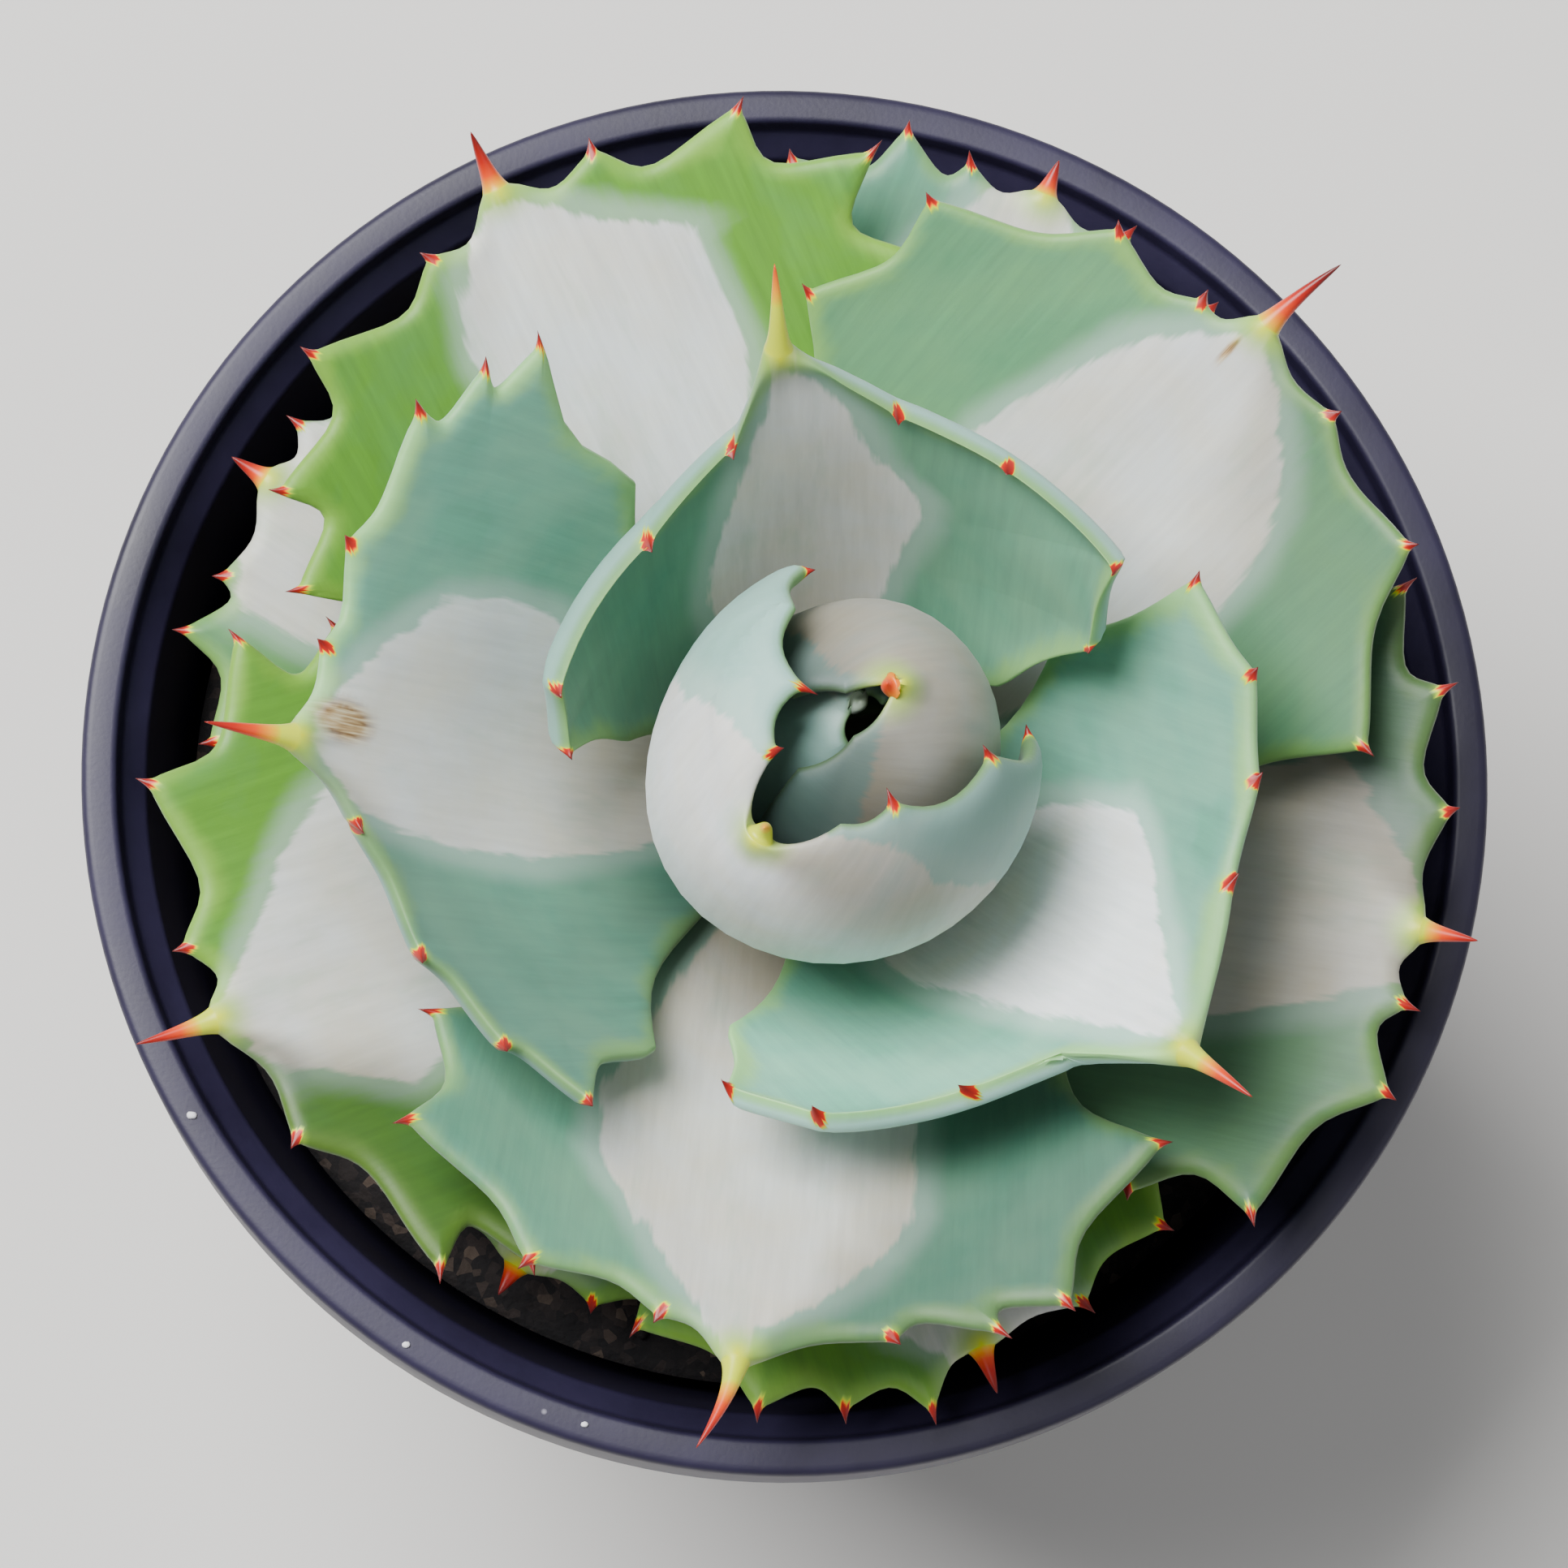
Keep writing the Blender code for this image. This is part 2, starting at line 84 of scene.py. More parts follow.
# ---- fine shape of the leaves, in mm ----------------------------------------------
TIP_HALF_WIDTH = 1.05
MARGIN_DEPTH = 1.5  # thickness at the margin
COLUMNS = 45  # points across a leaf
PLAIN_ROWS = 56  # rows of points along a leaf, before those for its teeth
EDGE_ROUND = 1.3  # how far in from its edge the blade is rounded
ROLL_REACH = 1.6  # where a rolled margin swells out most
ROLL_TUCK = 0.8  # how far in the roll draws the edge itself, and its share of the roll
WAVE_LENGTH, WAVE_HEIGHT = 8.0, 0.16  # the skin's slight unevenness
TOOTH_BASE, TOOTH_REACH_IN, TOOTH_CLEAR = 0.55, 0.85, 2.5
TOOTH_THINNING = 0.78  # share of the thickness that a tooth loses towards its point
NO_TOOTH_NEAR = 9.0
SPINE_RINGS = 26
CRUMBS_AROUND, CRUMB_STEPS = 220, 44  # points round and across the layer of crumbs
MIDRIB = 45.0  # usual length of a midrib, for laying patterns along it

# Name to spine repeat the imported model's leaf table: degrees and millimetres, with the
# outline's teeth from tip to base as (share of the leaf's length, degrees from midrib),
# and a third number, 0, where the outline bends without a tooth.
# stripe: left and right edge of the pale middle stripe, in the same way. tint: 0 is
# blue-green, 1 is yellow-green. shade: painted light and shade, the brightness of its left
# side, middle and right side, painted darker where a side turns from the light and where
# taller leaves cast shadow on it, and lighter where it is brightly lit.
# tooth: length of the margin's teeth.
# scallop: depth of the hollows between them. roll: how far the left and the right margin
# curl in. spine_tone: share of the spine that stays yellow, and how red its point is.
Leaf = namedtuple(
    "Leaf",
    "name turn start rise reach height flare furl lift lean thick left right spine"
    " stripe tint shade tooth scallop roll spine_tone",
)


def collar(age):
    """Where a leaf of this age meets the stem, as (radius, height over the rim) in mm."""
    steps = age - FIRST_OPEN
    return tuple(first + step * steps for first, step in zip(COLLAR, COLLAR_STEP))


LEAVES = (
    Leaf("leaf_01", 140, (1.6, 3.6), (44, 9), 0.8, 28.0, (150, 9.5), 0, 0, (2.6, 1.0), 0.7,
         ((0.97, 110), (0.85, 140), (0.55, 130)), ((0.97, 110), (0.85, 140), (0.55, 130)),
         (1.0, 75, 0), (((1.0, 2),), ((1.0, 2),)), 0.0, (0.8, 0.8, 0.8), 0, 0, (0, 0), (0, 0)),
    Leaf("leaf_02", 15, (3.2, 3.2), (38, 11.6), 0.4, 31.0, (155, 13.6), 0, 0, (2.8, 1.0), 0.5,
         ((0.99, 60), (0.97, 110), (0.88, 142), (0.40, 140)),
         ((0.99, 60), (0.97, 115), (0.88, 150), (0.40, 140)), (1.6, 80, 30),
         (((1.1, 60), (0.9, 100), (0.2, 120)), ((1.1, 60), (0.9, 100), (0.2, 120))),
         0.0, (0.5, 0.5, 0.5), 0, 0, (0, 0), (-1.0, 0.45)),
    Leaf("leaf_03", 230, (4.8, 2.6), (32, 12.2), 8.5, 30.0, (141, 9.1), 0, 0, (3.0, 1.2), 0.7,
         ((1.08, 34, 0), (1.10, 65), (0.95, 117), (0.57, 135), (0.30, 122)),
         ((1.13, 28), (1.19, 80), (1.02, 114, 0), (0.74, 130), (0.30, 120)), (2.6, 70, 0),
         (((1.08, 10), (1.03, 51), (0.89, 69), (0.69, 86), (0.57, 92)),
          ((1.10, 20), (1.09, 41), (1.04, 51), (0.94, 59), (0.68, 69))), 0.05,
         (0.54, 1.08, 0.96), 0.9, 0.025, (0, 0), (0.6, 0.2)),
    Leaf("leaf_04", 96, collar(3), (27, 13), 26.4, 31.0, (60, 14), 3.0, 0, (0, 0), 1.0,
         ((0.81, 9), (0.69, 31), (0.70, 70), (0.60, 82), (0.30, 70)),
         ((0.90, 20), (0.91, 41), (0.98, 67), (0.80, 76), (0.40, 70)), (7.0, 35, 0),
         (((0.93, 2), (0.86, 3), (0.72, 7), (0.60, 12), (0.47, 18), (0.38, 22)),
          ((0.96, 2), (0.92, 5), (0.85, 12), (0.73, 19), (0.67, 28), (0.61, 31), (0.42, 28))),
         0.25, (0.78, 0.84, 0.95), 0.8, 0.02, (0.6, 0.7), (0.6, 0.45)),
    Leaf("leaf_05", 319, collar(4), (28, 14), 33.2, 29.0, (46, 14), 1.0, 1.0, (0, 0), 1.0,
         ((0.90, 22), (0.92, 36), (0.93, 50), (0.87, 65), (0.48, 70)),
         ((0.78, 10, 0), (0.73, 24), (0.71, 48), (0.65, 63), (0.40, 66)), (6.5, 25, 0),
         (((0.98, 1), (0.93, 3), (0.75, 17), (0.61, 33), (0.40, 36)),
          ((0.98, 0), (0.94, 0), (0.72, 4), (0.45, 12), (0.22, 22))), 0.05,
         (1.08, 1.25, 1.5), 0.9, 0.025, (0, 0.6), (0.3, 0.75)),
    Leaf("leaf_06", 180, collar(5), (27, 14), 35.9, 26.0, (42, 14), 0.5, 1.0, (0, 0), 1.0,
         ((0.88, 10), (0.83, 28), (0.79, 44), (0.76, 58), (0.50, 62)),
         ((0.96, 11), (0.98, 23), (1.01, 40), (0.98, 49), (0.95, 56), (0.58, 60)),
         (7.0, 20, -6),
         (((0.98, 1), (0.96, 2), (0.86, 8), (0.63, 13), (0.40, 17), (0.18, 16)),
          ((0.98, 1), (0.95, 3), (0.89, 9), (0.83, 14), (0.74, 22), (0.60, 29), (0.47, 33))),
         0.1, (0.7, 0.95, 1.2), 0.9, 0.07, (0.3, 0), (0.25, 0.8)),
    Leaf("leaf_07", 44, collar(6), (27, 13), 45.5, 20.5, (31, 15), 0, 1.5, (0, 0), 1.0,
         ((0.96, 6), (0.98, 16), (0.91, 34), (0.73, 46), (0.40, 50)),
         ((0.99, 10), (1.00, 24), (0.85, 42), (0.45, 50)), (7.0, 18, -10),
         (((0.99, 1), (0.97, 1), (0.84, 9), (0.69, 14), (0.57, 20)),
          ((0.99, 1), (0.97, 2), (0.85, 13), (0.76, 18), (0.63, 22))), 0.5,
         (0.93, 0.88, 0.6), 1.0, 0.07, (0.2, 0.2), (0.0, 1.0)),
    Leaf("leaf_08", 263, collar(7), (26, 13), 42.7, 19.5, (30, 15), 0, 1.5, (0, 0), 1.0,
         ((0.96, 15), (0.99, 25), (0.99, 32), (0.83, 50), (0.50, 52)),
         ((0.94, 8), (0.94, 22), (0.87, 41), (0.68, 50), (0.40, 52)), (7.5, 12, -28),
         (((0.98, 1), (0.95, 1), (0.86, 11), (0.74, 20), (0.49, 26)),
          ((0.98, 1), (0.96, 2), (0.89, 6), (0.77, 13), (0.68, 21), (0.54, 26), (0.34, 26))),
         0.2, (0.45, 0.79, 0.76), 1.0, 0.08, (0, 0), (0.3, 0.8)),
    Leaf("leaf_09", 118, collar(8), (25, 13), 48.1, 15.5, (23, 16), 0, 1.5, (0, 0), 1.0,
         ((0.96, 8), (0.97, 22), (0.88, 34), (0.78, 42), (0.45, 48)),
         ((1.00, 9), (1.02, 22), (0.95, 34), (0.80, 40), (0.45, 48)), (5.0, 45, 0),
         (((0.99, 1), (0.98, 2), (0.92, 6), (0.79, 10)),
          ((0.99, 0), (0.98, 0), (0.90, 8), (0.85, 16), (0.75, 18), (0.63, 21))),
         1.0, (0.88, 1.06, 1.0), 1.0, 0.11, (0, 0), (0.0, 0.9)),
    Leaf("leaf_10", 346, collar(9), (24, 14), 45.6, 13.5, (21, 16), 0, 1.5, (0, 0), 1.0,
         ((1.02, 11), (1.02, 22), (1.00, 32), (0.75, 42), (0.40, 46)),
         ((1.01, 7), (1.04, 15), (0.98, 31), (0.80, 38), (0.45, 46)), (4.2, 20, 0),
         (((1.0, 1), (0.99, 2), (0.97, 6), (0.88, 14), (0.84, 17)),
          ((1.02, 1), (1.01, 5), (0.90, 9), (0.70, 16))), 0.5,
         (0.3, 0.53, 0.46), 1.0, 0.08, (0, 0), (0.1, 0.8)),
    Leaf("leaf_11", 203, collar(10), (22, 14), 45.7, 11.5, (18, 16), 0, 1.0, (0, 0), 1.0,
         ((0.98, 13), (0.96, 31), (0.86, 38), (0.45, 46)),
         ((1.01, 7), (1.03, 22), (0.92, 37), (0.75, 42), (0.40, 46)), (6.0, 10, -6),
         (((0.99, 2), (0.97, 3), (0.94, 6), (0.84, 10), (0.75, 15)),
          ((0.99, 1), (0.98, 1), (0.89, 7), (0.78, 18), (0.72, 22))), 1.0,
         (0.36, 0.85, 0.88), 1.1, 0.11, (0, 0), (0.25, 0.85)),
    Leaf("leaf_12", 68, collar(11), (20, 15), 48.4, 8.0, (14, 16), 0, 0.5, (0, 0), 1.0,
         ((1.01, 7), (1.04, 13), (0.98, 23), (0.85, 34), (0.45, 44)),
         ((1.00, 8), (0.98, 18), (0.85, 34), (0.45, 44)), (2.8, 20, 0),
         (((1.0, 2), (0.98, 4), (0.8, 12)), ((1.0, 2), (0.96, 4), (0.8, 12))),
         0.25, (0.85, 0.85, 0.85), 0.9, 0.08, (0, 0), (0.0, 0.9)),
    Leaf("leaf_13", 288, collar(12), (18, 15), 42.6, 4.5, (10, 16), 0, 0.5, (0, 0), 1.0,
         ((1.00, 11), (0.97, 22), (0.80, 36), (0.40, 42)),
         ((1.07, 6), (1.05, 14), (1.05, 22), (0.96, 35), (0.45, 42)), (3.5, 10, 0),
         (((1.02, 3), (1.0, 8), (0.8, 13)), ((1.0, 3), (0.95, 7), (0.8, 12))),
         1.0, (0.8, 0.8, 0.8), 0.9, 0.06, (0, 0), (0.0, 0.9)),
    Leaf("leaf_14", 149, collar(13), (16, 15), 46.2, 3.0, (8, 16), 0, 0.5, (0, 0), 1.0,
         ((0.99, 10), (1.02, 16), (0.94, 26), (0.75, 36), (0.40, 42)),
         ((1.01, 6), (1.02, 13), (0.97, 22), (0.75, 36), (0.40, 42)), (3.0, 15, 0),
         (((1.02, 5), (0.94, 12), (0.84, 13)), ((1.02, 2), (0.99, 7), (0.8, 12))),
         0.7, (0.8, 0.78, 0.8), 0.9, 0.08, (0, 0), (0.0, 0.9)),
    Leaf("leaf_15", 12, collar(14), (14, 15), 43.5, 0.5, (4, 16), 0, 0, (0, 0), 1.0,
         ((1.00, 9), (0.98, 20), (0.80, 34), (0.40, 42)),
         ((1.00, 9), (0.98, 20), (0.80, 34), (0.40, 42)), (3.0, 12, 0),
         (((1.0, 2), (0.9, 8), (0.7, 14)), ((1.0, 2), (0.9, 8), (0.7, 14))),
         0.8, (0.75, 0.75, 0.75), 0.9, 0.05, (0, 0), (0.0, 0.9)),
    Leaf("leaf_16", 239, collar(15), (12, 15), 40.0, -1.5, (0, 16), 0, 0, (0, 0), 1.0,
         ((1.00, 9), (0.98, 20), (0.80, 34), (0.40, 42)),
         ((1.00, 9), (0.98, 20), (0.80, 34), (0.40, 42)), (2.5, 10, 0),
         (((1.0, 2), (0.9, 8), (0.7, 14)), ((1.0, 2), (0.9, 8), (0.7, 14))),
         0.9, (0.8, 0.8, 0.8), 0.9, 0.05, (0, 0), (0.0, 0.9)),
)

# How far the tips of the bud's leaves stand off their packed places, in mm.
PULL = {"leaf_01": (1.0, 0.6), "leaf_02": (1.7, 1.7), "leaf_03": (-1.4, -2.0)}
# How far the bud and the leaf over it are pressed in on one side, at this heading.
PRESS = {"leaf_01": 0.6, "leaf_02": 1.2, "leaf_03": 2.4, "leaf_04": 1.6}
PRESS_HEADING = 145.0

# Corky marks, as leaf, share of its length, degrees from its midrib, and half its length
# across and along the leaf in mm.
MARKS = (
    ("leaf_06", 0.90, -2.8, 1.7, 3.6),
    ("leaf_07", 0.93, 1.0, 0.35, 1.6),
    ("leaf_08", 0.42, 14.0, 0.9, 0.25),
)

# Grains of perlite on the lip, as heading in degrees, distance in from the rim and radius.
PERLITE = ((211, 1.4, 0.38), (237, 1.2, 0.3), (253, 1.5, 0.27))

# ---- stage ------------------------------------------------------------------------
FLOOR_REACH = 6.0
LAMPS = (("key", (-0.48, 0.36, 1.08), 0.7), ("fill", (0.75, -0.45, 0.85), 1.1))
EYE_MM, TARGET_MM = (-20.27, -75.19, 412.97 + POT_TOP), (-0.37, -1.28, POT_TOP)
LENS = 129.6


# ---- helpers ----------------------------------------------------------------------
def linear(code):
    """An sRGB hex colour as linear red, green and blue."""
    parts = [int(code[at:at + 2], 16) / 255 for at in (1, 3, 5)]
    return tuple(p / 12.92 if p <= 0.04045 else ((p + 0.055) / 1.055) ** 2.4 for p in parts)


def wire(tree, node, inputs):
    """Sets a node's inputs to these values, or links them to these outputs."""
    for key, value in inputs.items():
        if isinstance(value, bpy.types.NodeSocket):
            tree.links.new(value, node.inputs[key])
        else:
            node.inputs[key].default_value = value


def add(tree, kind, inputs=None, stops=None, out=None, **settings):
    """Adds a shader node with its settings, inputs and ramp stops, and gives the output
    that out names, or else the first one in use."""
    node = tree.nodes.new("ShaderNode" + kind)
    for name, value in settings.items():
        setattr(node, name, value)
    wire(tree, node, inputs or {})
    if stops:
        elements = node.color_ramp.elements
        while len(elements) < len(stops):
            elements.new(1.0)
        for element, (position, colour) in zip(elements, stops):
            element.position = position
            element.color = (*colour, 1.0)
    if out:
        return node.outputs[out]
    return next((socket for socket in node.outputs if socket.enabled), None)


def finish_of(name):
    """A new material with an empty node tree, its shader and its output."""
    made = bpy.data.materials.new(name)
    made.use_nodes = True
    tree = made.node_tree
    tree.nodes.clear()
    surface = add(tree, "BsdfPrincipled")
    add(tree, "OutputMaterial", {"Surface": surface})
    return made, tree, surface.node


def eased(share):
    """A share from 0 to 1 that starts and ends slowly."""
    return share * share * (3 - 2 * share)


def random_heights(points, size, seed):
    """Smooth random values from -1 to 1 at these points, which change over this size."""
    table = np.random.RandomState(seed).uniform(-1, 1, 4096)
    cells = np.asarray(points, float) / size
    low = np.floor(cells).astype(np.int64)
    part = eased(cells - low)
    total = np.zeros(len(cells))
    for corner in np.ndindex(2, 2, 2):
        at = low + corner
        key = (at[:, 0] * 73856093) ^ (at[:, 1] * 19349663) ^ (at[:, 2] * 83492791)
        weight = np.prod(np.where(corner, part, 1 - part), axis=1)
        total += weight * table[key & 4095]
    return total


def check_closed(mesh):
    """Raises an error unless every edge of the mesh joins exactly two faces."""
    shape = bmesh.new()
    shape.from_mesh(mesh)
    loose = sum(not edge.is_manifold for edge in shape.edges)
    shape.free()
    if loose or mesh.validate():
        raise RuntimeError(f"{mesh.name} isn't a clean closed mesh: {loose} loose edges")


def piece(name, points_mm, faces, finish, stands_for=()):
    """A closed mesh piece from points in mm, which rides on the only body."""
    mesh = bpy.data.meshes.new(name)
    mesh.from_pydata((np.asarray(points_mm) * MM).tolist(), [], faces)
    check_closed(mesh)
    mesh.shade_smooth()
    mesh.materials.append(finish)
    made = bpy.data.objects.new(name, mesh)
    bpy.context.scene.collection.objects.link(made)
    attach(made, "root")
    if stands_for:
        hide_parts(*stands_for)
    return made


def refinish(node, finish):
    """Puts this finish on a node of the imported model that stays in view."""
    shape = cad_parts[node].data
    shape.materials.clear()
    shape.materials.append(finish)


def store(mesh, name, values):
    """Writes one number, or three, for each point of the mesh."""
    values = np.asarray(values, np.float32)
    kind, key = ("FLOAT", "value") if values.ndim == 1 else ("FLOAT_VECTOR", "vector")
    mesh.attributes.new(name, kind, "POINT").data.foreach_set(key, values.ravel())


def turned(profile, segments):
    """Points and faces of a closed solid turned round Z from (radius, height) points."""
    profile = np.array(profile, float)
    angle = np.linspace(0, 2 * np.pi, segments, endpoint=False)
    rings = profile[1:-1]
    points = [(0.0, 0.0, profile[0, 1])]
    for radius, height in rings:
        points += zip(radius * np.cos(angle), radius * np.sin(angle), [height] * segments)
    points.append((0.0, 0.0, profile[-1, 1]))
    last = len(points) - 1
    faces = []
    for here in range(segments):
        after = (here + 1) % segments
        faces.append((0, 1 + here, 1 + after))
        for ring in range(len(rings) - 1):
            a, b = 1 + ring * segments, 1 + (ring + 1) * segments
            faces.append((a + here, b + here, b + after, a + after))
        end = 1 + (len(rings) - 1) * segments
        faces.append((end + here, last, end + after))
    return np.array(points), faces


def rounded(profile, radii, steps=5):
    """The profile with each corner that has a radius turned into an arc."""
    out = []
    count = len(profile)
    for index, (corner, radius) in enumerate(zip(profile, radii)):
        corner = np.array(corner, float)
        if not radius or index in (0, count - 1):
            out.append(corner)
            continue
        before = np.array(profile[index - 1]) - corner
        after = np.array(profile[index + 1]) - corner
        first = corner + before / np.linalg.norm(before) * radius
        last = corner + after / np.linalg.norm(after) * radius
        for step in range(steps + 1):
            t = step / steps
            out.append((1 - t) ** 2 * first + 2 * t * (1 - t) * corner + t * t * last)
    return out


def lump():
    """Points and faces of a ball of radius 1, for grains and chips."""
    ball = bmesh.new()
    bmesh.ops.create_icosphere(ball, subdivisions=2, radius=1.0)
    points = np.array([vertex.co[:] for vertex in ball.verts])
    faces = np.array([[vertex.index for vertex in face.verts] for face in ball.faces])
    ball.free()
    return points, faces


LUMP_POINTS, LUMP_FACES = lump()


# ---- finishes ---------------------------------------------------------------------
def leaf_finish(name, settings):
    """Waxy agave leaf: a water-filled blade under a thin wax bloom.

    The bloom makes the skin matt and bluish, the middle stripe has no green in it, and the
    teeth and spines are hard horn that turns from yellow through orange to dark red."""
    made, tree, shader = finish_of(name)
    place = add(tree, "Attribute", out="Vector", attribute_name="leaf_mm")
    stripe, margin, horn, tint, mark, shade, back = (
        add(tree, "Attribute", out="Fac", attribute_name=guide)
        for guide in ("stripe_mm", "margin_mm", "horn", "tint", "mark", "shade", "back"))

    # Streaks follow the veins: 0.8 mm wide and 10 mm long; tongues of the stripe's edge
    # are 3.6 mm wide and 16 mm long; clouds of thicker bloom are 7 mm across.
    fine_at = add(tree, "VectorMath", {0: place, 1: (1 / 0.8, 1 / 10, 1)}, operation="MULTIPLY")
    broad_at = add(tree, "VectorMath", {0: place, 1: (1 / 3.6, 1 / 16, 1)}, operation="MULTIPLY")
    streak = add(tree, "TexNoise", {"Vector": fine_at, "Scale": 1.0, "Detail": 3.0,
                  "Roughness": 0.6})
    tongue = add(tree, "TexNoise", {"Vector": broad_at, "Scale": 1.0, "Detail": 4.0,
                  "Roughness": 0.62})
    cloud = add(tree, "TexNoise", {"Vector": place, "Scale": 1 / 7, "Detail": 4.0,
                 "Roughness": 0.55})
    # Wax grains are far finer; they are drawn 0.3 mm across so that they show.
    grain = add(tree, "TexNoise", {"Vector": place, "Scale": 1 / 0.3, "Detail": 2.0,
                 "Roughness": 0.7})

    jag = add(tree, "Math", {0: tongue, 1: 3.2, 2: -1.6}, operation="MULTIPLY_ADD")
    fray = add(tree, "Math", {0: streak, 1: 1.0, 2: -0.5}, operation="MULTIPLY_ADD")
    edge = add(tree, "Math", {0: stripe, 1: jag})
    frayed = add(tree, "Math", {0: edge, 1: fray})
    white = add(tree, "MapRange", {"Value": frayed, "From Min": -0.3, "From Max": 0.3},
                interpolation_type="SMOOTHSTEP")
    halo_edge = add(tree, "Math", {0: stripe, 1: fray}, operation="SUBTRACT")
    halo = add(tree, "MapRange", {"Value": halo_edge, "From Min": -2.6, "From Max": -0.4},
               interpolation_type="SMOOTHSTEP")

    toned = add(tree, "Math", {0: cloud, 1: 0.7, 2: -0.35}, operation="MULTIPLY_ADD")
    tone = add(tree, "Math", {0: tint, 1: toned}, use_clamp=True)
    green = add(tree, "Mix", {0: tone, 6: (*settings.green_young, 1),
                 7: (*settings.green_old, 1)}, data_type="RGBA")
    deep = add(tree, "MapRange", {"Value": streak, "From Min": 0.3, "From Max": 0.7,
                "To Min": 0.86, "To Max": 1.1})
    veined = add(tree, "VectorMath", {0: green, "Scale": deep}, operation="SCALE")
    # The wax is thinner on old leaves, and thicker on the backs of all of them.
    waxy = add(tree, "MapRange", {"Value": cloud, "From Min": 0.3, "From Max": 0.75,
                "To Min": 0.13, "To Max": settings.bloom_amount})
    worn = add(tree, "Math", {0: tone, 1: -0.92, 2: 1.0}, operation="MULTIPLY_ADD")
    film = add(tree, "Math", {0: waxy, 1: worn}, operation="MULTIPLY")
    haze = add(tree, "Math", {0: back, 1: 0.6, 2: film}, operation="MULTIPLY_ADD", use_clamp=True)
    bloomed = add(tree, "Mix", {0: haze, 6: veined, 7: (*settings.bloom, 1)}, data_type="RGBA")
    paler = add(tree, "Math", {0: halo, 1: 0.5}, operation="MULTIPLY")
    edged = add(tree, "Mix", {0: paler, 6: bloomed, 7: (*settings.stripe_edge, 1)},
                data_type="RGBA")

    # The stripe is creamier in random clouds, and is painted beige, as shade, where the shade
    # attribute darkens the blade.
    warm = add(tree, "MapRange", {"Value": cloud, "From Min": 0.35, "From Max": 0.7})
    painted_shade_depth = add(tree, "Math", {0: 1.0, 1: shade}, operation="SUBTRACT")
    warmer = add(tree, "Math", {0: warm, 1: 0.5, 2: painted_shade_depth}, operation="MULTIPLY_ADD",
                 use_clamp=True)
    cream = add(tree, "Mix", {0: warmer, 6: (*settings.stripe, 1),
                 7: (*settings.stripe_warm, 1)}, data_type="RGBA")
    lit = add(tree, "MapRange", {"Value": streak, "From Min": 0.25, "From Max": 0.7,
               "To Min": 0.9, "To Max": 1.04})
    chalky = add(tree, "VectorMath", {0: cream, "Scale": lit}, operation="SCALE")
    # A few veins inside the stripe still carry some green.
    vein = add(tree, "MapRange", {"Value": tongue, "From Min": 0.54, "From Max": 0.7,
                "To Max": 0.3})
    creamy = add(tree, "Mix", {0: vein, 6: chalky, 7: edged}, data_type="RGBA")
    blade = add(tree, "Mix", {0: white, 6: edged, 7: creamy}, data_type="RGBA")

    # The last two millimetres at the margin have less wax and show a yellower green.
    ragged = add(tree, "Math", {0: cloud, 1: -4.0, 2: 2.0}, operation="MULTIPLY_ADD")
    reach = add(tree, "Math", {0: margin, 1: ragged})
    rim = add(tree, "MapRange", {"Value": reach, "From Min": 1.9, "From Max": 0.1,
               "To Max": 0.45}, interpolation_type="SMOOTHSTEP")
    less = add(tree, "MapRange", {"Value": white, "To Min": 1.0, "To Max": 0.15})
    front = add(tree, "Math", {0: less, 1: back}, operation="SUBTRACT", use_clamp=True)
    rimmed = add(tree, "Math", {0: rim, 1: front}, operation="MULTIPLY")
    edge_green = add(tree, "Mix", {0: rimmed, 6: blade, 7: (*settings.margin, 1)},
                     data_type="RGBA")

    corky = add(tree, "TexNoise", {"Vector": fine_at, "Scale": 3.0, "Detail": 2.0})
    cork = add(tree, "ValToRGB", {0: corky}, stops=(
        (0.35, linear("#7d5c36")), (0.5, linear("#b7986a")), (0.65, linear("#d6c8a4"))))
    # Painted light and shade: the colour is scaled by the shade attribute, darker at leaf bases
    # and on sides turned from the light, lighter on brightly lit ones.
    shaded = add(tree, "VectorMath", {0: edge_green, "Scale": shade}, operation="SCALE")
    marked = add(tree, "Mix", {0: mark, 6: shaded, 7: cork}, data_type="RGBA")

    hard = add(tree, "MapRange", {"Value": horn}, interpolation_type="SMOOTHSTEP")
    along = add(tree, "Math", {0: horn, 1: 0.5}, operation="MULTIPLY")
    horny = add(tree, "ValToRGB", {0: along}, stops=(
        (0.28, linear("#a3c83c")), (0.46, linear("#cfd80a")), (0.60, linear("#f09c00")),
        (0.70, linear("#e24200")), (0.80, linear("#b81806")), (0.92, linear("#780d0b")),
        (1.0, linear("#3c0a0d"))))
    colour = add(tree, "Mix", {0: hard, 6: marked, 7: horny}, data_type="RGBA")

    matt = add(tree, "MapRange", {"Value": cloud, "From Min": 0.3, "From Max": 0.7,
                "To Min": 0.44, "To Max": 0.6})
    rough = add(tree, "Mix", {0: hard, 2: matt, 3: 0.36})
    relief = add(tree, "Math", {0: grain, 1: 0.25, 2: streak}, operation="MULTIPLY_ADD")
    scarred = add(tree, "Math", {0: mark, 1: corky, 2: relief}, operation="MULTIPLY_ADD")
    bump = add(tree, "Bump", {"Strength": 0.35, "Distance": 0.06 * MM, "Height": scarred})
    wire(tree, shader, {
        "Base Color": colour, "Roughness": rough, "IOR": 1.45, "Normal": bump,
        "Subsurface Weight": 0.22, "Subsurface Radius": (1.0, 1.0, 0.55),
        "Subsurface Scale": 1.2 * MM, "Sheen Weight": 0.12, "Sheen Roughness": 0.45})
    return made


